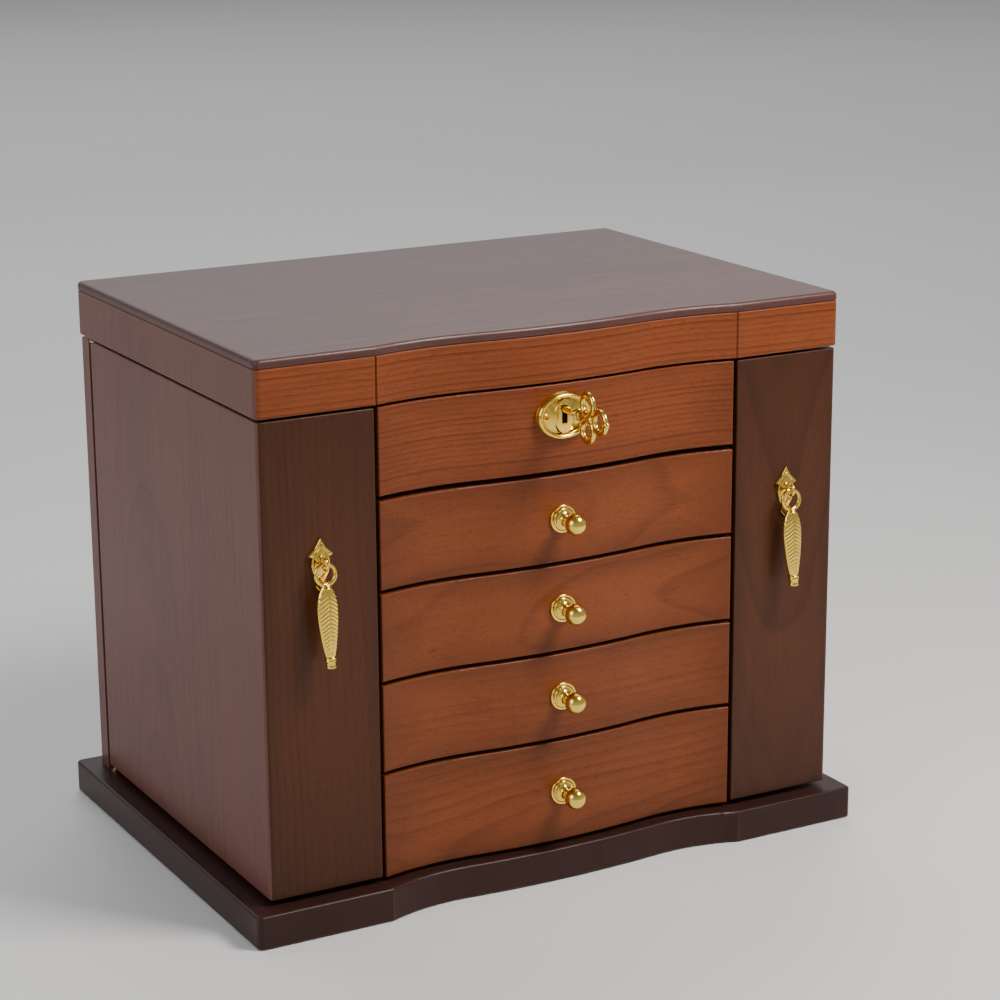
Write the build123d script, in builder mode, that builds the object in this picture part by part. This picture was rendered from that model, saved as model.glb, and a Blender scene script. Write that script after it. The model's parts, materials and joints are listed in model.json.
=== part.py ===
from build123d import *
import math
import os

# Jewellery chest: a lid on rear hinges, a lockable top tray, four drawers and two swing-out wings.
# Millimetres. The origin is the middle of the felt underside, +Z is up and the fronts face -Y.

os.makedirs("parts", exist_ok=True)

# ---- Driving sizes: the outside ----
lid_width = 380.0
lid_depth = 268.0
lid_height = 33.0
lid_top_thickness = 5.0
base_height = 20.0  # with the felt
felt_thickness = 1.0
felt_inset = 2.0
base_side_lap = 12.0  # how far the plinth stands out past the lid
base_front_lap = 10.0
side_inset = 0.8  # the body behind the lid's sides and front
rear_inset = 3.0
corner_radius = 3.5
arris = 0.8  # rounding on the edges that show
lid_gap = 1.6  # shadow gap under the lid
wing_gap = 3.4  # shadow gap under the wings

# ---- Driving sizes: the front ----
strip_width = 71.2  # front of each wing, up to the middle of the gap beside the drawers
front_gap = 2.4  # between neighbouring fronts
drawer_pitch = 53.8
bottom_drawer_pitch = 65.5
tray_pitch = 54.1  # lock panel and top tray
front_thickness = 12.7
recess_from_end = 42.0  # where the serpentine front is deepest
front_recess = 5.0
front_crown = -0.3
base_recess = 8.0
base_crown = -4.0
drawer_count = 4
sides = (-1, 1)  # left and right

# ---- Driving sizes: boards ----
rail_thickness = 10.0
side_thickness = 10.0
strip_thickness = 12.0
back_thickness = 12.0
partition_thickness = 8.0
dust_board_thickness = 3.0
tray_floor_thickness = 4.0
cap_thickness = 8.0
drawer_side_thickness = 6.0
drawer_bottom_thickness = 3.0
lining_thickness = 1.5
divider_thickness = 3.0

# ---- Clearances ----
slide_clearance = 0.6  # beside a drawer
drawer_lift = 0.4  # under a drawer
drawer_headroom = 1.5
drawer_rear_clearance = 4.0
behind_front = 1.0  # between a drawer front and the carcass
wing_side_clearance = 1.6
wing_rear_clearance = 0.8
pin_clearance = 0.05
screw_clearance = 0.02
knob_screw_head_clearance = 0.3

# ---- Places worked out from the sizes above ----
half_lid = lid_width / 2
lid_front = -lid_depth / 2
lid_rear = lid_depth / 2
half_body = half_lid - side_inset
face_y = lid_front + side_inset
rear_y = lid_rear - rear_inset
half_opening = half_body - strip_width
half_front = half_opening - front_gap / 2
strip_inner = half_opening + front_gap / 2
front_back = face_y + front_thickness
carcass_front = front_back + behind_front
back_front = rear_y - back_thickness
partition_inner = half_front + slide_clearance
partition_outer = partition_inner + partition_thickness
boundaries = [base_height, base_height + bottom_drawer_pitch]
for _ in range(drawer_count - 1):
    boundaries.append(boundaries[-1] + drawer_pitch)
lid_bottom = boundaries[-1] + tray_pitch
body_top = lid_bottom - lid_gap
total_height = lid_bottom + lid_height


def finish(part, name):
    """Label a piece and write it to its own file."""
    part.label = name
    export_step(part, f"parts/{name}.step")


def finish_pair(part, name):
    """Write a left-hand piece and its mirror image."""
    finish(part, f"left_{name}")
    finish(mirror(part, about=Plane.YZ), f"right_{name}")


def joined(*parts):
    """Separate pieces that are glued up and kept in one file."""
    return Compound(children=[solid for part in parts for solid in part.solids()])


def block(low, high, mode=Mode.ADD):
    """Add a box to the current part, from its lowest corner to its highest."""
    with Locations(tuple((a + b) / 2 for a, b in zip(low, high))):
        Box(*[b - a for a, b in zip(low, high)], mode=mode)


def region(*points, mode=Mode.INTERSECT):
    """Keep or cut a straight-sided area of the current sketch."""
    with BuildLine() as edge:
        Polyline(*points, close=True)
    make_face(edge.edges(), mode=mode)


def serpentine(y_face, recess, crown):
    """Front edge of the centre: a hollow near each end and a long swell in the middle."""
    deepest = half_opening - recess_from_end
    hollow = (recess_from_end**2 + recess**2) / (2 * recess)
    drop = recess + crown
    swell = (deepest**2 + drop**2 - 2 * drop * hollow) / (2 * drop)
    share = swell / (swell + hollow)
    turn_x = deepest * share
    turn_y = y_face - crown + swell - math.sqrt(swell**2 - turn_x**2)
    low_y = y_face + recess
    TangentArc((-deepest, low_y), (-half_opening, y_face), tangent=(-1, 0))
    TangentArc((-deepest, low_y), (-turn_x, turn_y), tangent=(1, 0))
    ThreePointArc((-turn_x, turn_y), (0, y_face - crown), (turn_x, turn_y))
    TangentArc((deepest, low_y), (turn_x, turn_y), tangent=(-1, 0))
    TangentArc((deepest, low_y), (half_opening, y_face), tangent=(1, 0))


def outline(half_width, y_face, y_back, recess, crown, radius):
    """Plan of a board with a serpentine centre to its front edge and rounded corners."""
    with BuildLine() as edge:
        serpentine(y_face, recess, crown)
        Polyline(
            (half_opening, y_face),
            (half_width, y_face),
            (half_width, y_back),
            (-half_width, y_back),
            (-half_width, y_face),
            (-half_opening, y_face),
        )
    face = make_face(edge.edges())
    ends = face.vertices().group_by(Axis.X)
    fillet(ends[0] + ends[-1], radius)


def centre_outline(half_width, y_face, y_back, recess, crown):
    """Plan of a board that is only the serpentine centre."""
    with BuildLine() as edge:
        serpentine(y_face, recess, crown)
        Polyline(
            (half_opening, y_face),
            (half_opening, y_back),
            (-half_opening, y_back),
            (-half_opening, y_face),
        )
    make_face(edge.edges())
    front = y_face - abs(crown) - 1
    region((-half_width, front), (half_width, front), (half_width, y_back), (-half_width, y_back))


def front_edges(part):
    """The edges round the show face of a board that faces -Y."""
    nearest = part.bounding_box().min.Y
    depth = front_recess + 1
    faces = part.faces().filter_by(lambda f: f.normal_at().Y < -0.9)
    faces = faces.filter_by(lambda f: f.center().Y < nearest + depth)
    count = {}
    for edge in faces.edges():
        key = (round(edge.center().X, 3), round(edge.center().Z, 3))
        count.setdefault(key, []).append(edge)
    return [same[0] for same in count.values() if len(same) == 1]


# ================= Plinth =================
base_half = half_lid + base_side_lap
base_front = lid_front - base_front_lap
base_rear = -base_front
moulding_thickness = 8.0  # where its front is hollowest
moulding_back = base_front + base_recess + moulding_thickness
moulding_half = half_opening
base_arris = 1.6

with BuildPart() as base_felt:
    with BuildSketch():
        outline(
            base_half - felt_inset,
            base_front + felt_inset,
            base_rear - felt_inset,
            base_recess,
            base_crown,
            corner_radius,
        )
    extrude(amount=felt_thickness)
finish(base_felt.part, "base_felt")

with BuildPart() as plinth_whole:
    with BuildSketch(Plane.XY.offset(felt_thickness)):
        outline(base_half, base_front, base_rear, base_recess, base_crown, corner_radius)
    extrude(amount=base_height - felt_thickness)
    fillet(plinth_whole.faces().sort_by(Axis.Z)[-1].edges(), base_arris)

moulding_box = (
    (-moulding_half, base_front - 10, 0),
    (moulding_half, moulding_back, base_height + 1),
)

with BuildPart() as base_front_moulding:
    add(plinth_whole.part)
    block(*moulding_box, mode=Mode.INTERSECT)
finish(base_front_moulding.part, "base_front_moulding")

# ---- Wing pivots: a brass plate at the top and a flanged pin at the foot ----
pivot_inset = 3.2  # from a wing's outer face to its axis, and the rounding of its rear edge
pivot_x = half_body - pivot_inset
pivot_y = back_front - wing_rear_clearance - pivot_inset
pivot_radius = 1.25
pivot_depth = 10.0
foot_flange = 1.0
foot_spigot = 8.0
plate_thickness = 1.2
plate_radius = 2.8
plate_reach = 8.0  # onto the back panel

with BuildPart() as base_plinth:
    add(plinth_whole.part)
    block(*moulding_box, mode=Mode.SUBTRACT)
    with Locations([(side * pivot_x, pivot_y, base_height) for side in sides]):
        Hole(pivot_radius + screw_clearance, depth=foot_spigot)
finish(base_plinth.part, "base_plinth")

wing_bottom = base_height + wing_gap
with BuildPart() as wing_pivots:
    for side in sides:
        with BuildSketch(Plane.XY.offset(base_height - foot_spigot)):
            with Locations((side * pivot_x, pivot_y)):
                Circle(pivot_radius)
        extrude(amount=foot_spigot + wing_gap + pivot_depth)
        with BuildSketch(Plane.XY.offset(base_height)):
            with Locations((side * pivot_x, pivot_y)):
                Circle(plate_radius)
        extrude(amount=foot_flange)
        with BuildSketch(Plane.XY.offset(body_top - plate_thickness)):
            with Locations((side * pivot_x, pivot_y)):
                Circle(plate_radius)
            reach = back_front + plate_reach - pivot_y
            with Locations((side * pivot_x, pivot_y + reach / 2)):
                Rectangle(2 * plate_radius, reach)
        extrude(amount=plate_thickness)
        with BuildSketch(Plane.XY.offset(body_top - plate_thickness - pivot_depth)):
            with Locations((side * pivot_x, pivot_y)):
                Circle(pivot_radius)
        extrude(amount=pivot_depth)
finish(wing_pivots.part, "wing_pivots")

# ================= Carcass =================
# ---- Lid hinges: places that the back panel and the lid share ----
hinge_x = half_lid - 80.0
hinge_length = 40.0
hinge_axis_y = lid_rear + 0.8
hinge_axis_z = lid_bottom - lid_gap / 2
barrel_radius = 2.4
hinge_pin_radius = 1.0
leaf_thickness = 1.2
leaf_inset = 2.0  # from the inner edge of the wood
knuckle_gap = 0.3
middle_knuckle = 15.0
barrel_room = barrel_radius + 0.3

with BuildPart() as back_panel:
    block((-half_body, back_front, base_height), (half_body, rear_y, body_top))
    fillet(back_panel.edges().filter_by(Axis.Z).group_by(Axis.Y)[-1], arris)
    for side in sides:
        low = side * hinge_x - hinge_length / 2
        block(
            (low, back_front + leaf_inset, body_top - leaf_thickness),
            (low + hinge_length, rear_y, body_top),
            mode=Mode.SUBTRACT,
        )
        block(
            (side * pivot_x - plate_radius, back_front, body_top - plate_thickness),
            (side * pivot_x + plate_radius, back_front + plate_reach, body_top),
            mode=Mode.SUBTRACT,
        )
finish(back_panel.part, "back_panel")

with BuildPart() as left_partition:
    block(
        (-partition_outer, carcass_front, base_height),
        (-partition_inner, back_front, body_top),
    )
finish_pair(left_partition.part, "partition")

with BuildPart() as dust_boards:
    for height in boundaries[:-1]:
        middle = height if height > base_height else height + dust_board_thickness / 2
        block(
            (-partition_inner, carcass_front, middle - dust_board_thickness / 2),
            (partition_inner, back_front, middle + dust_board_thickness / 2),
        )
finish(dust_boards.part, "dust_boards")

# ================= Lock =================
lip_depth = 5.5  # the lock panel's rear lip, which fills the width between the partitions
panel_gap = 1.8  # shadow gap under the panel, above the middle of the board below
panel_bottom = boundaries[-1] + panel_gap
panel_back = front_back + lip_depth
key_below_top = 14.4
key_z = body_top - key_below_top
key_drop = 4.0  # from the key's axis down to the middle of the escutcheon
shank_radius = 2.2
key_clearance = 0.3
keyhole_width = 3.2
keyhole_length = 8.0  # below the axis
case_half = 21.0
case_wall = 1.4
case_depth = 11.0
case_front = panel_back - case_depth
case_bottom = key_z - 20.0
bolt_half_height = 2.4
bolt_z = key_z + 7.6
bolt_nose = 1.0
bolt_thickness = 3.2
bolt_tip = 10.5
bolt_length = 24.0
bolt_clearance = 0.3
staple_x = 11.5
staple_thickness = 1.5
staple_margin = 1.2  # metal round the staple's eye
staple_room = 1.0
bolt_front = case_front + case_wall + staple_margin + staple_room
bolt_back = bolt_front + bolt_thickness


def keyhole(y_low, y_high):
    """Cut a keyhole: a round eye for the shank over a slot for the bit."""
    with BuildSketch(Plane.XZ.offset(-y_low)) as hole:
        with Locations((0, key_z)):
            Circle(shank_radius + key_clearance)
        with Locations((0, key_z - keyhole_length / 2)):
            Rectangle(keyhole_width, keyhole_length)
    extrude(hole.sketch, amount=y_low - y_high, mode=Mode.SUBTRACT)


with BuildPart() as lock_panel:
    with BuildSketch(Plane.XY.offset(panel_bottom)):
        centre_outline(half_front, face_y, front_back, front_recess, front_crown)
    extrude(amount=body_top - panel_bottom)
    fillet(front_edges(lock_panel.part), arris)
    block((-partition_inner, front_back, panel_bottom), (partition_inner, panel_back, body_top))
    block((-case_half, case_front, case_bottom), (case_half, panel_back, body_top), mode=Mode.SUBTRACT)
    keyhole(face_y - 1, case_front + 1)
finish(lock_panel.part, "lock_panel")

with BuildPart() as lock_case:
    block((-case_half, case_front, case_bottom), (case_half, panel_back, body_top))
    block(
        (-case_half + case_wall, case_front + case_wall, case_bottom + case_wall),
        (case_half - case_wall, panel_back - case_wall, body_top - case_wall),
        mode=Mode.SUBTRACT,
    )
    keyhole(case_front - 1, case_front + case_wall + 1)
    block(
        (staple_x - staple_room, case_front + case_wall, body_top - case_wall - 1),
        (
            staple_x + staple_thickness + staple_room,
            bolt_back + staple_margin + staple_room,
            body_top + 1,
        ),
        mode=Mode.SUBTRACT,
    )
finish(lock_case.part, "lock_case")

with BuildPart() as lock_bolt:
    block(
        (bolt_tip - bolt_length, bolt_front, bolt_z - bolt_half_height),
        (bolt_tip, bolt_back, bolt_z + bolt_half_height),
    )
    fillet(lock_bolt.edges().filter_by(Axis.Y).group_by(Axis.X)[-1], bolt_nose)
finish(lock_bolt.part, "lock_bolt")

strike_half = 18.0
strike_thickness = 1.0
strike_front = bolt_front - 2.2
strike_back = bolt_back + 1.6
with BuildPart() as strike_plate:
    block(
        (-strike_half, strike_front, lid_bottom),
        (strike_half, strike_back, lid_bottom + strike_thickness),
    )
    staple_low = bolt_z - bolt_half_height - bolt_clearance - staple_margin
    block(
        (staple_x, bolt_front - staple_margin, staple_low),
        (staple_x + staple_thickness, bolt_back + staple_margin, lid_bottom),
    )
    block(
        (staple_x - 1, bolt_front - bolt_clearance, bolt_z - bolt_half_height - bolt_clearance),
        (
            staple_x + staple_thickness + 1,
            bolt_back + bolt_clearance,
            bolt_z + bolt_half_height + bolt_clearance,
        ),
        mode=Mode.SUBTRACT,
    )
finish(strike_plate.part, "strike_plate")

# ---- Escutcheon: a domed oval plate with a raised rim, held by two screws ----
apex_y = face_y - front_crown
plate_z = key_z - key_drop
plate_half_width = 18.0
plate_half_height = 14.0
plate_floor = 1.4
rim_width = 3.4
rim_height = 4.2
rim_round = 1.6
boss_half_width = 6.4
boss_height = 1.4
boss_gap = 0.2  # from the boss to the rim, above and below
escutcheon_screw_x = 12.0
escutcheon_screw_radius = 1.2
screw_head_radius = 2.4
screw_head_height = 1.3
screw_head_dome = 0.9
screw_slot_half = 0.3
screw_slot_depth = 0.6

with BuildPart() as escutcheon:
    with BuildSketch(Plane.XZ.offset(-apex_y)):
        with Locations((0, plate_z)):
            Ellipse(plate_half_width, plate_half_height)
    extrude(amount=rim_height)
    fillet(escutcheon.faces().sort_by(Axis.Y)[0].edges(), rim_round)
    with BuildSketch(Plane.XZ.offset(-apex_y + plate_floor)):
        with Locations((0, plate_z)):
            Ellipse(plate_half_width - rim_width, plate_half_height - rim_width)
    extrude(amount=rim_height, mode=Mode.SUBTRACT)
    with BuildSketch(Plane.XZ.offset(-apex_y + plate_floor)):
        with Locations((0, plate_z)):
            Ellipse(boss_half_width, plate_half_height - rim_width - boss_gap)
    extrude(amount=boss_height)
    keyhole(apex_y + 1, apex_y - rim_height - 1)
    with BuildSketch(Plane.XZ.offset(-apex_y)):
        with Locations([(side * escutcheon_screw_x, plate_z) for side in sides]):
            Circle(escutcheon_screw_radius + screw_clearance)
    extrude(amount=rim_height, mode=Mode.SUBTRACT)
finish(escutcheon.part, "escutcheon")

with BuildPart() as escutcheon_screws:
    for side in sides:
        start = Plane((side * escutcheon_screw_x, apex_y - plate_floor, plate_z), (1, 0, 0), (0, -1, 0))
        with BuildSketch(start):
            Circle(screw_head_radius)
        extrude(amount=screw_head_height)
        with BuildSketch(start):
            Circle(escutcheon_screw_radius)
        extrude(amount=-plate_floor)
    fillet(escutcheon_screws.faces().group_by(Axis.Y)[0].edges(), screw_head_dome)
    slot_front = apex_y - plate_floor - screw_head_height
    for side in sides:
        low_x = side * escutcheon_screw_x
        block(
            (low_x - screw_head_radius, slot_front, plate_z - screw_slot_half),
            (low_x + screw_head_radius, slot_front + screw_slot_depth, plate_z + screw_slot_half),
            mode=Mode.SUBTRACT,
        )
finish(escutcheon_screws.part, "escutcheon_screws")

# ---- Key: a round shank, a bit and a bow of three rings ----
bow_start = 19.0  # from the panel to the bow
bow_stem = 20.0
bow_collar_length = 2.0
bow_collar_height = 1.2  # above the shank
bow_ring_radius = 8.0
bow_ring_hole = 3.9
bow_ring_reach = 28.0
bow_ring_spread = 7.4
bow_outer_reach = 41.4
bow_thickness = 2.8
bit_length = 7.0
bit_depth = 3.6
bit_thickness = 1.8
bit_clearance = 0.8
bit_back = panel_back - case_wall - bit_clearance


def out(distance):
    """Y of a point this far in front of the lock panel's crown."""
    return apex_y - distance


with BuildPart() as key:
    with BuildSketch(Plane.XZ.offset(-bit_back)):
        with Locations((0, key_z)):
            Circle(shank_radius)
    extrude(amount=bit_back - out(bow_ring_reach))
    with BuildSketch(Plane.XZ.offset(-out(bow_start))):
        with Locations((0, key_z)):
            Circle(shank_radius + bow_collar_height)
    extrude(amount=-bow_collar_length)
    block(
        (-bit_thickness / 2, bit_back - bit_depth, key_z - bit_length),
        (bit_thickness / 2, bit_back, key_z),
    )
    with BuildSketch(Plane.YZ.offset(-bow_thickness / 2)):
        rings = [
            (out(bow_ring_reach), key_z + bow_ring_spread),
            (out(bow_ring_reach), key_z - bow_ring_spread),
            (out(bow_outer_reach), key_z),
        ]
        with Locations(rings):
            Circle(bow_ring_radius)
        with Locations((out(bow_start + bow_stem / 2), key_z)):
            Rectangle(bow_stem, 2 * shank_radius)
        with Locations(rings):
            Circle(bow_ring_hole, mode=Mode.SUBTRACT)
    extrude(amount=bow_thickness)
finish(key.part, "key")

# ================= Top tray =================
tray_floor_low = boundaries[-1] - dust_board_thickness / 2
tray_floor_top = tray_floor_low + tray_floor_thickness
with BuildPart() as tray_floor:
    block((-partition_inner, panel_back, tray_floor_low), (partition_inner, back_front, tray_floor_top))
finish(tray_floor.part, "tray_floor")

tray_wall_drop = 2.4  # from the rim down to the lining's edge
tray_half = partition_inner - lining_thickness
tray_front = panel_back + lining_thickness
tray_back = back_front - lining_thickness
tray_low = tray_floor_top + lining_thickness
with BuildPart() as tray_lining:
    block(
        (-partition_inner, panel_back, tray_floor_top),
        (partition_inner, back_front, body_top - tray_wall_drop),
    )
    block((-tray_half, tray_front, tray_low), (tray_half, tray_back, body_top), mode=Mode.SUBTRACT)
finish(tray_lining.part, "tray_lining")

divider_drop = 8.0  # from the rim down to a divider's top
divider_top = body_top - divider_drop
cross_y = 4.0  # front face of the divider that runs across
ring_section_end = 38.0  # face of the divider beside the ring cushions
with BuildPart() as cross_divider:
    block((-tray_half, cross_y, tray_low), (tray_half, cross_y + divider_thickness, divider_top))
with BuildPart() as front_divider:
    block(
        (ring_section_end, tray_front, tray_low),
        (ring_section_end + divider_thickness, cross_y, divider_top),
    )
with BuildPart() as rear_dividers:
    for side in sides:
        middle = side * (ring_section_end + divider_thickness / 2)
        block(
            (middle - divider_thickness / 2, cross_y + divider_thickness, tray_low),
            (middle + divider_thickness / 2, tray_back, divider_top),
        )
finish(joined(cross_divider.part, front_divider.part, rear_dividers.part), "tray_dividers")

ring_roll_count = 7
ring_roll_gap = 1.0
ring_roll_height = 24.0
ring_roll_clearance = 0.5
ring_roll_rounding = 0.4  # share of a roll's width
ring_length = ring_section_end + tray_half - 2 * ring_roll_clearance
ring_pitch = (cross_y - tray_front) / ring_roll_count
ring_roll_width = ring_pitch - ring_roll_gap
with BuildPart() as ring_rolls:
    for index in range(ring_roll_count):
        with BuildSketch(Plane.YZ.offset(-tray_half + ring_roll_clearance)):
            with Locations((tray_front + (index + 0.5) * ring_pitch, tray_low + ring_roll_height / 2)):
                Rectangle(ring_roll_width, ring_roll_height)
    extrude(amount=ring_length)
    fillet(ring_rolls.edges().filter_by(Axis.X).group_by(Axis.Z)[-1], ring_roll_width * ring_roll_rounding)
finish(ring_rolls.part, "ring_rolls")

# ================= Drawers =================
box_half = partition_inner - slide_clearance
box_rear = back_front - drawer_rear_clearance
inner = box_half - drawer_side_thickness
back_y = box_rear - drawer_side_thickness
knob_flange_radius = 8.4
knob_flange_edge = 0.9
knob_flange_height = 2.1
knob_flange_round = 1.4
knob_collar_radius = 5.6
knob_collar_height = 2.7
knob_neck_radius = 2.8
knob_neck_start = 6.2
knob_ball_radius = 6.4
knob_ball_reach = 15.0
knob_screw_radius = 1.5
knob_screw_depth = 4.5
knob_screw_head_radius = 3.0
knob_screw_head = 1.6
knob_screw_end_gap = 0.2
drawer_lining_drop = 2.0  # from the drawer's rim down to the lining's edge

bore = knob_screw_radius + screw_clearance
flange_edge = (knob_flange_radius, knob_flange_edge)
flange_top = (knob_flange_radius - knob_flange_round, knob_flange_height)
collar_top = (knob_collar_radius, knob_collar_height)
neck_low = (knob_neck_radius, knob_neck_start)
neck_top = knob_ball_reach - math.sqrt(knob_ball_radius**2 - knob_neck_radius**2)
inside = apex_y - front_back

for number in range(1, drawer_count + 1):
    level = drawer_count - number
    low_bound, high_bound = boundaries[level], boundaries[level + 1]
    is_bottom = level == 0
    front_low = low_bound + (front_gap if is_bottom else front_gap / 2)
    front_high = high_bound - front_gap / 2
    board_top = low_bound + (dust_board_thickness if is_bottom else dust_board_thickness / 2)
    box_low = board_top + drawer_lift
    box_high = high_bound - dust_board_thickness / 2 - drawer_headroom
    knob_z = (front_low + front_high) / 2
    knob_plane = Plane((0, apex_y, knob_z), (1, 0, 0), (0, 0, -1))
    knob_axis = Axis((0, apex_y, knob_z), (0, 1, 0))
    box_floor = box_low + drawer_bottom_thickness

    with BuildPart() as drawer_front:
        with BuildSketch(Plane.XY.offset(front_low)):
            centre_outline(half_front, face_y, front_back, front_recess, front_crown)
        extrude(amount=front_high - front_low)
        fillet(front_edges(drawer_front.part), arris)
        with BuildSketch(Plane.XZ.offset(-front_back)):
            with Locations((0, knob_z)):
                Circle(knob_screw_radius + screw_clearance)
        extrude(amount=front_thickness, mode=Mode.SUBTRACT)
    finish(drawer_front.part, f"drawer_{number}_front")

    with BuildPart() as drawer_sides:
        for side in sides:
            low_x, high_x = sorted((side * inner, side * box_half))
            block((low_x, front_back, box_low), (high_x, box_rear, box_high))
    with BuildPart() as drawer_back:
        block((-inner, back_y, box_low), (inner, box_rear, box_high))
    with BuildPart() as drawer_bottom:
        block((-inner, front_back, box_low), (inner, back_y, box_floor))
    finish(joined(drawer_sides.part, drawer_back.part, drawer_bottom.part), f"drawer_{number}_box")

    with BuildPart() as drawer_lining:
        block((-inner, front_back, box_floor), (inner, back_y, box_high - drawer_lining_drop))
        block(
            (-inner + lining_thickness, front_back + lining_thickness, box_floor + lining_thickness),
            (inner - lining_thickness, back_y - lining_thickness, box_high),
            mode=Mode.SUBTRACT,
        )
        with BuildSketch(Plane.XZ.offset(-front_back)):
            with Locations((0, knob_z)):
                Circle(knob_screw_head_radius + knob_screw_head_clearance)
        extrude(amount=-2 * lining_thickness, mode=Mode.SUBTRACT)
    finish(drawer_lining.part, f"drawer_{number}_lining")

    with BuildPart() as drawer_knob:
        with BuildSketch(knob_plane):
            with BuildLine():
                Polyline(
                    (0, knob_screw_depth),
                    (bore, knob_screw_depth),
                    (bore, 0),
                    (knob_flange_radius, 0),
                    flange_edge,
                )
                TangentArc(flange_edge, flange_top, tangent=(0, 1))
                Polyline(flange_top, (knob_collar_radius, knob_flange_height), collar_top)
                TangentArc(neck_low, collar_top, tangent=(0, -1))
                Line(neck_low, (knob_neck_radius, neck_top))
                ThreePointArc(
                    (knob_neck_radius, neck_top),
                    (knob_ball_radius, knob_ball_reach),
                    (0, knob_ball_reach + knob_ball_radius),
                )
                Line((0, knob_ball_reach + knob_ball_radius), (0, knob_screw_depth))
            make_face()
        revolve(axis=knob_axis)
        with BuildSketch(knob_plane):
            with BuildLine():
                Polyline(
                    (0, knob_screw_depth - knob_screw_end_gap),
                    (knob_screw_radius, knob_screw_depth - knob_screw_end_gap),
                    (knob_screw_radius, inside),
                    (knob_screw_head_radius, inside),
                    (knob_screw_head_radius, inside - knob_screw_head),
                    (0, inside - knob_screw_head),
                    close=True,
                )
            make_face()
        revolve(axis=knob_axis)
    finish(drawer_knob.part, f"drawer_{number}_knob")

# ================= Wings =================
# The left wing is drawn and the right one is its mirror image.
wing_inner_face = -half_body + side_thickness
strip_back = face_y + strip_thickness
wing_reach = -partition_outer - wing_side_clearance
wing_corner = (-half_body, face_y)
wing_mitre = (wing_inner_face, strip_back)
wing_rear = pivot_y + pivot_inset
mitre_far = (2 * wing_corner[0] - wing_mitre[0], 2 * wing_corner[1] - wing_mitre[1])
leaf_room = 0.4  # round the pivot plate
pin_hole_depth = pivot_depth + 1
show_margin = 1.5

with BuildPart() as wing_shell:
    with BuildSketch(Plane.XY.offset(wing_bottom)):
        with BuildLine():
            Polyline(
                (-half_body, pivot_y),
                wing_corner,
                (-strip_inner, face_y),
                (-strip_inner, strip_back),
                wing_mitre,
                (wing_inner_face, wing_rear),
                (-pivot_x, wing_rear),
            )
            RadiusArc((-pivot_x, wing_rear), (-half_body, pivot_y), -pivot_inset)
        corner_face = make_face()
        fillet(corner_face.vertices().sort_by_distance(wing_corner)[0], corner_radius - side_inset)
    extrude(amount=body_top - wing_bottom)
    show = wing_shell.edges().filter_by(
        lambda e: e.center().X < -half_body + show_margin or e.center().Y < face_y + show_margin
    )
    show = show.group_by(Axis.Z)
    fillet(show[0] + show[-1], arris)
    inner_edge = wing_shell.edges().filter_by(Axis.Z).sort_by_distance(
        (-strip_inner, face_y, (wing_bottom + body_top) / 2)
    )
    fillet(inner_edge[0], arris)
    block(
        (-half_body - 1, pivot_y - plate_radius - leaf_room, body_top - plate_thickness - leaf_room),
        (wing_inner_face + 1, wing_rear + 1, body_top + 1),
        mode=Mode.SUBTRACT,
    )
    with Locations([(-pivot_x, pivot_y, height) for height in (wing_bottom, body_top - plate_thickness)]):
        Cylinder(pivot_radius + pin_clearance, 2 * pin_hole_depth, mode=Mode.SUBTRACT)

with BuildPart() as wing_side:
    add(wing_shell.part)
    with BuildSketch() as kept:
        region(
            mitre_far,
            wing_mitre,
            (wing_inner_face + 1, wing_rear + 1),
            (mitre_far[0], wing_rear + 1),
            mode=Mode.ADD,
        )
    extrude(amount=total_height, mode=Mode.INTERSECT)
finish_pair(wing_side.part, "wing_side")

with BuildPart() as wing_strip:
    add(wing_shell.part)
    with BuildSketch():
        region(
            mitre_far,
            (-strip_inner + 1, mitre_far[1]),
            (-strip_inner + 1, strip_back + 1),
            (wing_mitre[0] + 1, strip_back + 1),
            wing_mitre,
            mode=Mode.ADD,
        )
    extrude(amount=total_height, mode=Mode.INTERSECT)
finish_pair(wing_strip.part, "wing_strip")

cap_setback = 0.5
cap_rear = pivot_y - cap_setback
with BuildPart() as wing_caps:
    for low_z in (wing_bottom, body_top - cap_thickness):
        block((wing_inner_face, strip_back, low_z), (wing_reach, cap_rear, low_z + cap_thickness))
finish_pair(wing_caps.part, "wing_caps")

# ---- Necklace hooks: a brass strip with wire hooks ----
hook_count = 6
rail_margin = 21.0  # from either end of the wing's hollow to the rail and the pocket
hook_rail_height = 8.0
hook_rail_thickness = 1.6
hook_wire = 1.1
hook_arm = 9.0
hook_upturn = 6.0
hook_drop = 16.0  # from the top cap down to the rail's middle
hook_root = 1.0  # below the rail's middle
hook_z = body_top - cap_thickness - hook_drop
hook_middle_y = (strip_back + cap_rear) / 2
rail_half = (cap_rear - strip_back) / 2 - rail_margin
hook_pitch = 2 * rail_half / hook_count
hook_face = wing_inner_face + hook_rail_thickness
hook_bend = 2.5  # radius at the elbow
hook_bite = 0.8  # how far the wire is let into the strip


def wire_hook(hook_y):
    """One bent wire with a rounded tip."""
    height = hook_z - hook_root
    root = (hook_face - hook_bite, hook_y, height)
    elbow = (hook_face + hook_arm, hook_y, height)
    tip = (hook_face + hook_arm, hook_y, height + hook_upturn + hook_wire)
    with BuildPart() as hook:
        with BuildLine():
            FilletPolyline(root, elbow, tip, radius=hook_bend)
        with BuildSketch(Plane(origin=root, z_dir=(1, 0, 0))):
            Circle(hook_wire)
        sweep()
        fillet(hook.faces().sort_by(Axis.Z)[-1].edges(), hook_wire * 0.9)
    return hook.part


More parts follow.
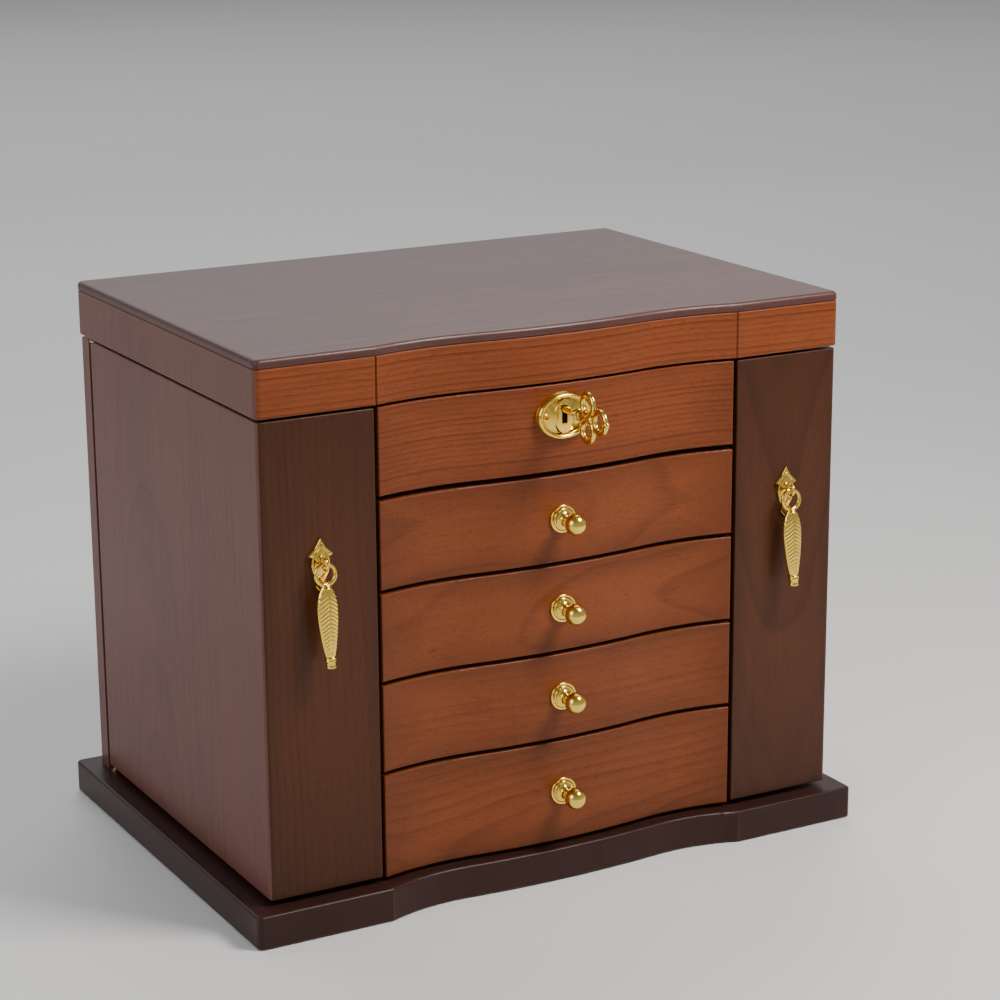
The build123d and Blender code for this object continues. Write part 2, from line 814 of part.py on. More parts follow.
hook_places = [hook_middle_y + (index - (hook_count - 1) / 2) * hook_pitch for index in range(hook_count)]
with BuildPart() as hook_rail:
    block(
        (wing_inner_face, hook_middle_y - rail_half, hook_z - hook_rail_height / 2),
        (hook_face, hook_middle_y + rail_half, hook_z + hook_rail_height / 2),
    )
wing_hooks = hook_rail.part.fuse(*[wire_hook(hook_y) for hook_y in hook_places])
finish_pair(wing_hooks, "wing_hooks")

pocket_depth = 10.0
pocket_wall = 1.2
pocket_height = 78.0
pocket_lift = 2.0
pocket_low = wing_bottom + cap_thickness + pocket_lift
pocket_inner_x = wing_inner_face + pocket_wall
pocket_front = hook_middle_y - rail_half
pocket_rear = hook_middle_y + rail_half
with BuildPart() as wing_pocket:
    block(
        (wing_inner_face, pocket_front, pocket_low),
        (wing_inner_face + pocket_depth, pocket_rear, pocket_low + pocket_height),
    )
    block(
        (pocket_inner_x, pocket_front + pocket_wall, pocket_low + pocket_wall),
        (
            wing_inner_face + pocket_depth - pocket_wall,
            pocket_rear - pocket_wall,
            pocket_low + pocket_height + 1,
        ),
        mode=Mode.SUBTRACT,
    )
finish_pair(wing_pocket.part, "wing_pocket")

# ---- Pendant pulls: an arrow-headed plate with an eye, and a leaf-shaped drop on a ring ----
pull_x = -(half_body + strip_inner) / 2
pull_below_top = 81.9
pull_z = body_top - pull_below_top
pull_plate_thickness = 2.0
pull_plate_arris = 0.6
pull_plate_half = [  # right-hand half of the plate, from the eye's centre
    (0, 13.5),
    (3.2, 8.2),
    (7.6, 4.0),
    (4.9, 4.2),
    (5.8, -1.5),
    (4.6, -7.0),
    (2.6, -10.5),
    (3.4, -14.0),
    (0, -18.0),
]
eye_stem_radius = 2.2
pivot_out = 6.5  # from the strip to the eye's centre
eye_radius = 3.1
eye_wire = 0.95
drop_ring_radius = 5.9
drop_wire = 1.2
drop_lean = 5.0  # degrees; the ring rests on the plate's foot, which holds the drop off the strip
drop_length = 59.0

with BuildPart() as pull_plate:
    with BuildSketch(Plane.XZ.offset(-face_y)):
        with BuildLine():
            across = [(-a, b) for a, b in reversed(pull_plate_half[1:-1])]
            Polyline(*[(pull_x + a, pull_z + b) for a, b in pull_plate_half + across], close=True)
        make_face()
    extrude(amount=pull_plate_thickness)
    fillet(pull_plate.faces().sort_by(Axis.Y)[0].edges(), pull_plate_arris)
    with BuildSketch(Plane.XZ.offset(-face_y)):
        with Locations((pull_x, pull_z)):
            Circle(eye_stem_radius)
    extrude(amount=pivot_out - eye_radius)
    eye_plane = Plane((pull_x, face_y - pivot_out, pull_z), (0, 1, 0), (1, 0, 0))
    with Locations(eye_plane):
        Torus(eye_radius, eye_wire)
finish_pair(pull_plate.part, "pull_plate")

lean = math.radians(drop_lean)
drop_down = (0, -math.sin(lean), -math.cos(lean))
drop_pivot = Vector(pull_x, face_y - pivot_out, pull_z)
leaf_sections = [  # distance below the pivot, half width, half thickness
    (2 * drop_ring_radius + 0.2, 2.6, 2.2),
    (2 * drop_ring_radius + 4.0, 4.6, 2.7),
    (27.0, 6.4, 3.2),
    (42.0, 5.0, 2.9),
    (52.5, 2.9, 2.3),
]
cap_sections = [(52.5, 3.5, 2.9), (drop_length, 3.1, 2.6)]
with BuildPart() as pull_drop:
    ring_centre = drop_pivot + Vector(drop_down) * drop_ring_radius
    with Locations(Plane(ring_centre, (1, 0, 0), (0, -math.cos(lean), math.sin(lean)))):
        Torus(drop_ring_radius, drop_wire)
    for sections in (leaf_sections, cap_sections):
        for distance, half_wide, half_deep in sections:
            with BuildSketch(Plane(drop_pivot + Vector(drop_down) * distance, (1, 0, 0), drop_down)):
                Ellipse(half_wide, half_deep)
        loft()
finish_pair(pull_drop.part, "pull_drop")

# ================= Lid =================
lid_top_low = total_height - lid_top_thickness
lid_inner_half = half_lid - rail_thickness
lid_inner_front = front_back
lid_inner_rear = lid_rear - back_thickness
lid_top_rounding = 2.7
groove = 1.1  # shadow groove under the lid's top and at the joints in its front

with BuildPart() as lid_top:
    with BuildSketch(Plane.XY.offset(lid_top_low)):
        outline(half_lid, lid_front, lid_rear, front_recess, front_crown, corner_radius)
    extrude(amount=lid_top_thickness)
    fillet(lid_top.faces().sort_by(Axis.Z)[-1].edges(), lid_top_rounding)
finish(lid_top.part, "lid_top")

with BuildPart() as lid_ring:
    with BuildSketch(Plane.XY.offset(lid_bottom)):
        outline(half_lid, lid_front, lid_rear, front_recess, front_crown, corner_radius)
        region(
            (-lid_inner_half, lid_inner_front),
            (lid_inner_half, lid_inner_front),
            (lid_inner_half, lid_inner_rear),
            (-lid_inner_half, lid_inner_rear),
            mode=Mode.SUBTRACT,
        )
    extrude(amount=lid_top_low - lid_bottom)
    chamfer(lid_ring.faces().sort_by(Axis.Z)[-1].outer_wire().edges(), groove)
    fillet(lid_ring.faces().sort_by(Axis.Z)[0].outer_wire().edges(), arris)
    for side in sides:
        with BuildSketch(Plane.XY.offset(lid_bottom)):
            region(
                (side * half_opening - groove, lid_front - 0.1),
                (side * half_opening + groove, lid_front - 0.1),
                (side * half_opening, lid_front + groove),
                mode=Mode.ADD,
            )
        extrude(amount=lid_height, mode=Mode.SUBTRACT)
        low = side * hinge_x - hinge_length / 2
        block(
            (low, lid_inner_rear + leaf_inset, lid_bottom),
            (low + hinge_length, lid_rear, lid_bottom + leaf_thickness),
            mode=Mode.SUBTRACT,
        )
        block(
            (low, hinge_axis_y - barrel_room, lid_bottom),
            (low + hinge_length, lid_rear + 1, hinge_axis_z + barrel_room),
            mode=Mode.SUBTRACT,
        )
    block(
        (-strike_half, strike_front, lid_bottom),
        (strike_half, strike_back, lid_bottom + strike_thickness),
        mode=Mode.SUBTRACT,
    )

lid_corner = (-half_lid, lid_front)
lid_mitre = (-lid_inner_half, lid_inner_front)
lid_far = (2 * lid_corner[0] - lid_mitre[0], 2 * lid_corner[1] - lid_mitre[1])
lid_regions = {
    "left_lid_rail": [
        lid_far,
        lid_mitre,
        (-lid_inner_half, lid_rear + 1),
        (lid_far[0], lid_rear + 1),
    ],
    "lid_back_rail": [
        (-lid_inner_half, lid_inner_rear - 1),
        (lid_inner_half, lid_inner_rear - 1),
        (lid_inner_half, lid_rear + 1),
        (-lid_inner_half, lid_rear + 1),
    ],
    "left_lid_front": [
        lid_far,
        (-half_opening, lid_far[1]),
        (-half_opening, lid_inner_front + 1),
        (lid_mitre[0] + 1, lid_inner_front + 1),
        lid_mitre,
    ],
    "lid_front_centre": [
        (-half_opening, lid_front - 5),
        (half_opening, lid_front - 5),
        (half_opening, lid_inner_front + 1),
        (-half_opening, lid_inner_front + 1),
    ],
}
lid_pieces = {}
for name, points in lid_regions.items():
    with BuildPart() as lid_piece:
        add(lid_ring.part)
        with BuildSketch():
            region(*points, mode=Mode.ADD)
        extrude(amount=total_height, mode=Mode.INTERSECT)
    lid_pieces[name] = lid_piece.part
finish_pair(lid_pieces["left_lid_rail"], "lid_rail")
finish(lid_pieces["lid_back_rail"], "lid_back_rail")
right_lid_front = mirror(lid_pieces["left_lid_front"], about=Plane.YZ)
finish(joined(lid_pieces["left_lid_front"], right_lid_front), "lid_front_ends")
finish(lid_pieces["lid_front_centre"], "lid_front_centre")

mirror_border = 30.0  # lining that shows all round the mirror
mirror_half_width = lid_inner_half - mirror_border
mirror_half_depth = (lid_inner_rear - lid_inner_front) / 2 - mirror_border
mirror_thickness = 3.0
lid_lining_lift = 2.0
mirror_clearance = 0.2
mirror_middle_y = (lid_inner_front + lid_inner_rear) / 2
mirror_low = lid_top_low - mirror_thickness
with BuildPart() as lid_lining:
    block(
        (-lid_inner_half, lid_inner_front, lid_bottom + lid_lining_lift),
        (lid_inner_half, lid_inner_rear, lid_top_low),
    )
    block(
        (-lid_inner_half + lining_thickness, lid_inner_front + lining_thickness, lid_bottom),
        (lid_inner_half - lining_thickness, lid_inner_rear - lining_thickness, mirror_low),
        mode=Mode.SUBTRACT,
    )
    block(
        (
            -mirror_half_width - mirror_clearance,
            mirror_middle_y - mirror_half_depth - mirror_clearance,
            mirror_low - 1,
        ),
        (
            mirror_half_width + mirror_clearance,
            mirror_middle_y + mirror_half_depth + mirror_clearance,
            lid_top_low + 1,
        ),
        mode=Mode.SUBTRACT,
    )
finish(lid_lining.part, "lid_lining")

with BuildPart() as lid_mirror:
    block(
        (-mirror_half_width, mirror_middle_y - mirror_half_depth, mirror_low),
        (mirror_half_width, mirror_middle_y + mirror_half_depth, lid_top_low),
    )
finish(lid_mirror.part, "lid_mirror")

# ---- Lid hinges: two leaves each, three knuckles and a pin ----
end_knuckle = (hinge_length - middle_knuckle) / 2 - knuckle_gap


def knuckle(start_x, length, leaf_low):
    """One rolled knuckle, with the web that joins it to its leaf."""
    with BuildSketch(Plane.YZ.offset(start_x)) as section:
        with Locations((hinge_axis_y, hinge_axis_z)):
            Circle(barrel_radius)
        with Locations((hinge_axis_y - barrel_room / 2, leaf_low + leaf_thickness / 2)):
            Rectangle(barrel_room, leaf_thickness)
    extrude(section.sketch, amount=length)


def leaf(low_x, inner_y, leaf_low):
    """The flat of one hinge leaf."""
    high = (low_x + hinge_length, hinge_axis_y - barrel_room, leaf_low + leaf_thickness)
    block((low_x, inner_y, leaf_low), high)


def pin_hole(low_x):
    """The bore through a hinge's knuckles."""
    with BuildSketch(Plane.YZ.offset(low_x - 1)) as bore:
        with Locations((hinge_axis_y, hinge_axis_z)):
            Circle(hinge_pin_radius + pin_clearance)
    extrude(bore.sketch, amount=hinge_length + 2, mode=Mode.SUBTRACT)


with BuildPart() as lid_hinge_case_leaves:
    for side in sides:
        low = side * hinge_x - hinge_length / 2
        leaf(low, back_front + leaf_inset, body_top - leaf_thickness)
        knuckle(low, end_knuckle, body_top - leaf_thickness)
        knuckle(low + hinge_length - end_knuckle, end_knuckle, body_top - leaf_thickness)
        pin_hole(low)
finish(lid_hinge_case_leaves.part, "lid_hinge_case_leaves")

with BuildPart() as lid_hinge_lid_leaves:
    for side in sides:
        low = side * hinge_x - hinge_length / 2
        leaf(low, lid_inner_rear + leaf_inset, lid_bottom)
        knuckle(low + end_knuckle + knuckle_gap, middle_knuckle, lid_bottom)
        pin_hole(low)
finish(lid_hinge_lid_leaves.part, "lid_hinge_lid_leaves")

with BuildPart() as lid_hinge_pins:
    for side in sides:
        with BuildSketch(Plane.YZ.offset(side * hinge_x - hinge_length / 2)):
            with Locations((hinge_axis_y, hinge_axis_z)):
                Circle(hinge_pin_radius)
        extrude(amount=hinge_length)
finish(lid_hinge_pins.part, "lid_hinge_pins")
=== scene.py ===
# %% [markdown]
# # A jewellery chest with drawers, dressed in Blender
# The chest arrives as a finished frame: every board, hinge and drawer is already cut and placed.
# What is left is the work of a polisher and an upholsterer. We stain and lacquer the timber, cast
# and chase the brass, and sew the velvet and satin inside.

# %% Load the frame
import json
import math
import random

import bmesh
import bpy
import numpy as np
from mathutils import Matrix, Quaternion, Vector


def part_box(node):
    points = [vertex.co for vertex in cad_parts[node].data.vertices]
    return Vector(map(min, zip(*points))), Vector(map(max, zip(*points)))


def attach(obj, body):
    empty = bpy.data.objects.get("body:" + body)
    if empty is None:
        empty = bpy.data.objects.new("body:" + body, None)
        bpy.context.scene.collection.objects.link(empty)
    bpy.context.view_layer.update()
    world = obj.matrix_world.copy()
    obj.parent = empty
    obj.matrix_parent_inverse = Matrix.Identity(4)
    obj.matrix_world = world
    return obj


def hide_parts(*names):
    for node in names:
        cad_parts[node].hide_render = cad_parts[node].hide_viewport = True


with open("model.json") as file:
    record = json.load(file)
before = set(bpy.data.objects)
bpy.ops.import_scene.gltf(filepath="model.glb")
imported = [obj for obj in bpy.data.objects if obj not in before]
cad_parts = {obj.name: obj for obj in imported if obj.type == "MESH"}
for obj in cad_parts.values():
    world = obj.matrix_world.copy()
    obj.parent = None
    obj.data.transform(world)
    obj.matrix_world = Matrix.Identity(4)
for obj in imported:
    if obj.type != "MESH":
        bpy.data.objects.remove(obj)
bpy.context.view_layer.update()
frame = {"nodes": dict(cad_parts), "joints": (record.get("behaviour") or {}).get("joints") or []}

nodes = frame["nodes"]
mm = 0.001

# %% [markdown]
# ## Camera and light
# The camera stands well back with a long lens, so that upright edges stay nearly parallel.
# The light is soft: a large box high on the right gives the warm front and throws the small shadows
# of the brass to the left, and a weaker one fills the left side. A dim card behind the chest is
# mirrored by the lid, so a dark lacquered top looks greyer than its sides. A wide wash lights the floor.

# %% Camera
lens_mm = 97.6
camera_azimuth = -28.86
camera_elevation = 15.26
camera_roll = -0.405
camera_distance = 1.6909
camera_target = Vector((0.0323, 0.0, 0.1952))


def facing(azimuth, elevation):
    """Unit vector from what is looked at towards the eye."""
    a, e = math.radians(azimuth), math.radians(elevation)
    return Vector((math.sin(a) * math.cos(e), -math.cos(a) * math.cos(e), math.sin(e)))


camera = bpy.data.objects.new("camera", bpy.data.cameras.new("camera"))
bpy.context.scene.collection.objects.link(camera)
camera.data.lens = lens_mm
camera.data.sensor_width = 36.0
towards_eye = facing(camera_azimuth, camera_elevation)
camera.location = camera_target + towards_eye * camera_distance
camera.rotation_mode = "QUATERNION"
level = (-towards_eye).to_track_quat("-Z", "Y")
camera.rotation_quaternion = level @ Quaternion((0, 0, 1), math.radians(camera_roll))
bpy.context.scene.camera = camera
print("camera at", [round(v, 3) for v in camera.location])

# %% [markdown]
# Shader trees are easier to read when a node is one call. `add_node` makes a node, sets its options,
# and either links a socket or gives it a value. `open_group` starts a reusable effect with named
# sockets.

# %% Small helpers for node trees


def add_node(tree, kind, values=None, **options):
    """A node with its options set and its inputs linked or given a value."""
    made = tree.nodes.new(kind)
    for key, value in options.items():
        setattr(made, key, value)
    for key, value in (values or {}).items():
        if isinstance(value, bpy.types.NodeSocket):
            tree.links.new(value, made.inputs[key])
        else:
            made.inputs[key].default_value = value
    return made


def calc(tree, operation, first, second=0.0, third=0.0, clamp=False):
    """The result of one Math node."""
    values = {0: first, 1: second, 2: third}
    return add_node(tree, "ShaderNodeMath", values, operation=operation, use_clamp=clamp).outputs[0]


def remap(tree, value, low, high, new_low, new_high):
    """A value stretched from one range to another, and held inside it."""
    values = {"Value": value, "From Min": low, "From Max": high, "To Min": new_low, "To Max": new_high}
    return add_node(tree, "ShaderNodeMapRange", values).outputs["Result"]


def mix(tree, factor, first, second, blend_type="MIX"):
    """Two colours mixed by a factor."""
    made = add_node(tree, "ShaderNodeMix", data_type="RGBA", blend_type=blend_type)
    for socket, value in zip((made.inputs[0], made.inputs[6], made.inputs[7]), (factor, first, second)):
        if isinstance(value, bpy.types.NodeSocket):
            tree.links.new(value, socket)
        else:
            socket.default_value = value
    return made.outputs[2]


def noise(tree, vector, scale, detail=2.0, roughness=0.5):
    """A soft cloudy value from 0 to 1."""
    values = {"Vector": vector, "Scale": scale, "Detail": detail, "Roughness": roughness}
    return add_node(tree, "ShaderNodeTexNoise", values).outputs[0]


def stretched(tree, vector, scale):
    """Coordinates scaled differently along each axis."""
    return add_node(tree, "ShaderNodeVectorMath", {0: vector, 1: scale}, operation="MULTIPLY").outputs[0]


def open_group(name, inputs, outputs):
    """A new shader group with named sockets, and its two end nodes."""
    group = bpy.data.node_groups.new(name, "ShaderNodeTree")
    kinds = {"f": "NodeSocketFloat", "c": "NodeSocketColor", "v": "NodeSocketVector"}
    for label, kind, value in inputs:
        socket = group.interface.new_socket(label, in_out="INPUT", socket_type=kinds[kind])
        socket.default_value = value
    for label, kind in outputs:
        group.interface.new_socket(label, in_out="OUTPUT", socket_type=kinds[kind])
    return group, group.nodes.new("NodeGroupInput"), group.nodes.new("NodeGroupOutput")


def use_group(tree, group, values):
    """A group placed in a material, with its own values."""
    made = add_node(tree, "ShaderNodeGroup", node_tree=group)
    for key, value in values.items():
        if isinstance(value, bpy.types.NodeSocket):
            tree.links.new(value, made.inputs[key])
        else:
            made.inputs[key].default_value = value
    return made


def open_material(name):
    """A new material, its tree, its Principled shader and the object's own coordinates."""
    material = bpy.data.materials.new(name)
    material.use_nodes = True
    tree = material.node_tree
    place = add_node(tree, "ShaderNodeTexCoord").outputs["Object"]
    return material, tree, tree.nodes["Principled BSDF"], place


def relief(tree, shader, height, depth_mm, strength=1.0):
    """Fine relief from a height, through a Bump node into the shader's Normal."""
    values = {"Height": height, "Distance": depth_mm * mm, "Strength": strength}
    bump = add_node(tree, "ShaderNodeBump", values)
    tree.links.new(bump.outputs["Normal"], shader.inputs["Normal"])


# %% Floor, air and lamps
floor_radius = 14.0
bpy.ops.mesh.primitive_circle_add(vertices=128, radius=floor_radius, fill_type="NGON")
floor = bpy.context.object
floor.name = "studio_floor"
floor_paint, tree, shader, place = open_material("pale_floor")
cloud = noise(tree, place, 3.0, 3.0)
tree.links.new(mix(tree, cloud, (0.74, 0.73, 0.72, 1), (0.79, 0.78, 0.77, 1)), shader.inputs["Base Color"])
shader.inputs["Roughness"].default_value = 0.55
floor.data.materials.append(floor_paint)

world = bpy.data.worlds.new("studio_air")
bpy.context.scene.world = world
world.use_nodes = True
tree = world.node_tree
up = add_node(tree, "ShaderNodeSeparateXYZ", {0: add_node(tree, "ShaderNodeTexCoord").outputs["Generated"]})
height = remap(tree, up.outputs["Z"], -0.05, 0.9, 0.0, 1.0)
air = mix(tree, height, (0.80, 0.81, 0.82, 1), (0.24, 0.25, 0.27, 1))
tree.links.new(air, tree.nodes["Background"].inputs["Color"])
tree.nodes["Background"].inputs["Strength"].default_value = 0.62


def softbox(name, azimuth, elevation, distance, size, watts, colour=(1, 1, 1)):
    """A large area lamp that looks at the middle of the chest."""
    lamp = bpy.data.objects.new(name, bpy.data.lights.new(name, "AREA"))
    bpy.context.scene.collection.objects.link(lamp)
    lamp.data.shape = "RECTANGLE"
    lamp.data.size, lamp.data.size_y = size
    lamp.data.energy = watts
    lamp.data.color = colour
    direction = facing(azimuth, elevation)
    lamp.location = Vector((0, 0, 0.16)) + direction * distance
    lamp.rotation_euler = (-direction).to_track_quat("-Z", "Y").to_euler()
    return lamp


softbox("key_softbox", 36, 50, 1.3, (0.45, 0.45), 19, (1.0, 0.96, 0.90))
softbox("left_fill", -80, 25, 2.2, (1.2, 1.2), 14, (0.92, 0.95, 1.0))
softbox("rear_card", 165, 24, 2.4, (2.6, 0.9), 3, (0.95, 0.97, 1.0))
softbox("back_wash", 170, 50, 5.5, (5.0, 4.0), 130, (0.98, 0.99, 1.0))

# %% [markdown]
# ## Timber
# A plank is a slice through a cone of yearly rings. If the saw passes close to the heart, the rings
# show as tall arches, which joiners call cathedrals. If it passes far from it, they run straight and
# look like stripes. So one group can make every board here: it measures how far each point is from
# the heart of an imagined log, and the material says where that heart lies. Painting stripes would
# be quicker, but they wouldn't turn the corner onto the end of a board as these do.

# %% Timber group
timber, start, end = open_group(
    "sawn_timber",
    [
        ("Vector", "v", (0, 0, 0)),
        ("Heart Depth", "f", 0.05),
        ("Heart Height", "f", 0.0),
        ("Taper", "f", 0.1),
        ("Ring Width", "f", 0.004),
        ("Wander", "f", 0.01),
        ("Light", "c", (0.3, 0.1, 0.05, 1)),
        ("Dark", "c", (0.1, 0.04, 0.02, 1)),
        ("Contrast", "f", 0.6),
        ("Lateness", "f", 2.2),
        ("Pores", "f", 0.4),
    ],
    [("Color", "c"), ("Roughness", "f"), ("Height", "f")],
)
given = start.outputs
axes = add_node(timber, "ShaderNodeSeparateXYZ", {0: given["Vector"]}).outputs
drift = noise(timber, stretched(timber, given["Vector"], (5.0, 14.0, 14.0)), 1.0, 2.0)
wander = calc(timber, "MULTIPLY", calc(timber, "SUBTRACT", drift, 0.5), given["Wander"])
tapered = calc(timber, "MULTIPLY_ADD", axes["X"], given["Taper"], axes["Y"])
depth = calc(timber, "ADD", tapered, given["Heart Depth"])
across = calc(timber, "SUBTRACT", axes["Z"], given["Heart Height"])
square = calc(timber, "ADD", calc(timber, "MULTIPLY", depth, depth), calc(timber, "MULTIPLY", across, across))
from_heart = calc(timber, "ADD", calc(timber, "SQRT", square), wander)
years = calc(timber, "DIVIDE", from_heart, given["Ring Width"])
within_year = calc(timber, "FRACT", years)
late_growth = calc(timber, "POWER", within_year, given["Lateness"])
soft_start = remap(timber, within_year, 0.88, 1.0, 1.0, 0.0)
one_year = calc(timber, "FLOOR", years)
luck = add_node(timber, "ShaderNodeTexWhiteNoise", {"W": one_year}, noise_dimensions="1D")
good_year = calc(timber, "MULTIPLY_ADD", luck.outputs["Value"], 0.7, 0.3)
ring = calc(timber, "MULTIPLY", calc(timber, "MULTIPLY", late_growth, soft_start), good_year)
fibre = noise(timber, stretched(timber, given["Vector"], (14.0, 900.0, 900.0)), 1.0, 3.0, 0.6)
pore_field = noise(timber, stretched(timber, given["Vector"], (150.0, 2600.0, 2600.0)), 1.0, 1.0)
pore = calc(timber, "MULTIPLY", remap(timber, pore_field, 0.60, 0.72, 0.0, 1.0), given["Pores"])
patch = noise(timber, stretched(timber, given["Vector"], (6.0, 16.0, 16.0)), 1.0, 3.0, 0.55)
shade = calc(timber, "MULTIPLY", ring, given["Contrast"])
shade = calc(timber, "ADD", shade, calc(timber, "MULTIPLY", calc(timber, "SUBTRACT", fibre, 0.5), 0.55))
uneven = calc(timber, "MULTIPLY", calc(timber, "SUBTRACT", patch, 0.45), 0.8)
shade = calc(timber, "ADD", shade, uneven, clamp=True)
body_colour = mix(timber, shade, given["Light"], given["Dark"])
pored = mix(timber, pore, body_colour, (0.012, 0.006, 0.004, 1))
timber.links.new(pored, end.inputs["Color"])
timber.links.new(remap(timber, fibre, 0.2, 0.8, 0.30, 0.42), end.inputs["Roughness"])
hollow = calc(timber, "ADD", calc(timber, "MULTIPLY", pore, 0.7), calc(timber, "MULTIPLY", fibre, 0.12))
timber.links.new(calc(timber, "SUBTRACT", 1.0, hollow), end.inputs["Height"])
print("timber group has", len(timber.nodes), "nodes")

# %% [markdown]
# Polishing thins the stain on sharp edges, and light catches their rounded arrises, so arrises are painted
# a little paler than the boards: partly wear, partly a painted highlight. The Bevel node rounds the normal
# near an edge. Where that rounded normal leaves the true one there is an edge, and noise breaks the line up
# so that it looks handled and not drawn.

# %% Edge group: rubbed stain and painted highlight
edge_wear_and_highlight, start, end = open_group(
    "worn_and_highlit_edges",
    [("Vector", "v", (0, 0, 0)), ("Reach", "f", 0.0012), ("Amount", "f", 0.5)],
    [("Mask", "f")],
)
given = start.outputs
rounded = add_node(edge_wear_and_highlight, "ShaderNodeBevel", {"Radius": given["Reach"]}, samples=4).outputs["Normal"]
true_normal = add_node(edge_wear_and_highlight, "ShaderNodeNewGeometry").outputs["Normal"]
agree = add_node(edge_wear_and_highlight, "ShaderNodeVectorMath", {0: rounded, 1: true_normal}, operation="DOT_PRODUCT")
# The edge mask below paints arrises paler: partly stain rubbed thin, partly a painted highlight.
edge = remap(edge_wear_and_highlight, agree.outputs["Value"], 0.995, 0.86, 0.0, 1.0)
broken = remap(edge_wear_and_highlight, noise(edge_wear_and_highlight, given["Vector"], 90.0, 3.0), 0.3, 0.6, 0.45, 1.0)
worn_and_highlit = calc(edge_wear_and_highlight, "MULTIPLY", calc(edge_wear_and_highlight, "MULTIPLY", edge, broken), given["Amount"], clamp=True)
edge_wear_and_highlight.links.new(worn_and_highlit, end.inputs["Mask"])

# %% [markdown]
# The fronts are the show wood and the warmest, and stain gathers darker near their edges. The lid and sides
# are cooler, and the plinth is nearly black so that it grounds the box. Satin lacquer is a clear
# coat over all of them.

# %% Stained timber materials
swizzle = {"x": ("X", "Y", "Z"), "z": ("Z", "Y", "X"), "y": ("Y", "Z", "X"), "side": ("Z", "X", "Y")}


def stained_timber(name, light, dark, along="x", heart=(0.05, 0.0), taper=0.1, ring=0.004, wander=0.012,
                   contrast=0.6, pores=0.4, move=(0, 0, 0), wear_and_highlight_tone=1.6, edge=0.5, coat=0.06, late=2.2,
                   gather=0.0):
    """One stained, lacquered board. `along` is how the log lay, `gather` the stain built up at edges."""
    material, tree, shader, place = open_material(name)
    parts = add_node(tree, "ShaderNodeSeparateXYZ", {0: place}).outputs
    turned_log = add_node(tree, "ShaderNodeCombineXYZ", dict(zip("XYZ", (parts[a] for a in swizzle[along]))))
    moved = add_node(tree, "ShaderNodeVectorMath", {0: turned_log.outputs[0], 1: move}).outputs[0]
    values = {"Vector": moved, "Heart Depth": heart[0], "Heart Height": heart[1], "Taper": taper}
    values.update({"Ring Width": ring, "Wander": wander, "Contrast": contrast, "Lateness": late})
    values["Pores"] = pores
    values.update({"Light": (*light, 1), "Dark": (*dark, 1)})
    board = use_group(tree, timber, values).outputs
    # Arrises are painted paler here: partly stain rubbed thin, partly a painted highlight of light on the
    # rounded edge.
    wear_and_highlight_mask = use_group(tree, edge_wear_and_highlight, {"Vector": place, "Amount": edge}).outputs["Mask"]
    pale = tuple(min(1.0, v * wear_and_highlight_tone) for v in light)
    across = add_node(tree, "ShaderNodeTexCoord").outputs["Generated"]
    shares = add_node(tree, "ShaderNodeSeparateXYZ", {0: across}).outputs
    from_ends = [calc(tree, "PINGPONG", shares[axis], 0.5) for axis in "XZ"]
    nearest = calc(tree, "MINIMUM", calc(tree, "MULTIPLY", from_ends[0], 2.2), from_ends[1])
    built_up = calc(tree, "MULTIPLY", remap(tree, nearest, 0.0, 0.32, 1.0, 0.0), gather)
    stained = mix(tree, built_up, board["Color"], (*(v * 0.6 for v in dark), 1))
    # The board's colour is mixed towards the paler edge tone: wear and painted highlight together.
    tree.links.new(mix(tree, wear_and_highlight_mask, stained, (*pale, 1)), shader.inputs["Base Color"])
    tree.links.new(board["Roughness"], shader.inputs["Roughness"])
    shader.inputs["Specular IOR Level"].default_value = 0.18
    shader.inputs["Coat Weight"].default_value = coat
    shader.inputs["Coat Roughness"].default_value = 0.22
    relief(tree, shader, board["Height"], 0.05, 0.5)
    return material


# Each edge tone factor and edge amount sets how much paler a board's arrises are painted: partly wear, partly
# a painted highlight.
red_light, red_dark = (0.235, 0.058, 0.017), (0.070, 0.017, 0.006)
lid_wood = stained_timber("lid_top_stain", (0.095, 0.040, 0.034), (0.042, 0.018, 0.016), heart=(0.9, 0.0),
                          taper=0.02, ring=0.005, contrast=0.55, move=(0, 0, 0.2), coat=0.2, wear_and_highlight_tone=1.2)
case_wood = stained_timber("wing_side_stain", (0.150, 0.058, 0.044), (0.062, 0.023, 0.018), "side",
                           heart=(0.06, 0.03), taper=0.08, ring=0.005, contrast=0.4, move=(0.1, 0.2, 0))
stripe_wood = stained_timber("lock_panel_stain", red_light, red_dark, heart=(0.02, -0.60), taper=0.01,
                             ring=0.0031, wander=0.006, contrast=0.85, wear_and_highlight_tone=1.5, gather=0.3)
lid_front_wood = stained_timber("lid_front_stain", red_light, red_dark, heart=(0.02, -0.70), taper=0.01,
                                ring=0.0034, wander=0.006, contrast=0.85, move=(0.4, 0, 0.1))
strip_wood = stained_timber("wing_strip_stain", (0.083, 0.027, 0.011), (0.032, 0.011, 0.006), "z",
                            heart=(0.03, 0.155), taper=0.10, ring=0.0045, contrast=0.5, wear_and_highlight_tone=2.2,
                            gather=0.35)
base_wood = stained_timber("plinth_stain", (0.036, 0.013, 0.010), (0.016, 0.007, 0.006), heart=(0.5, 0.0),
                           ring=0.005, contrast=0.4, wear_and_highlight_tone=3.2, edge=0.7)
inner_wood = stained_timber("inner_stain", (0.19, 0.085, 0.045), (0.09, 0.04, 0.022), "y", heart=(0.3, 0.1),
                            ring=0.004, contrast=0.5, wear_and_highlight_tone=1.2)
log_values = ("heart", "taper", "ring", "wander", "contrast", "late")
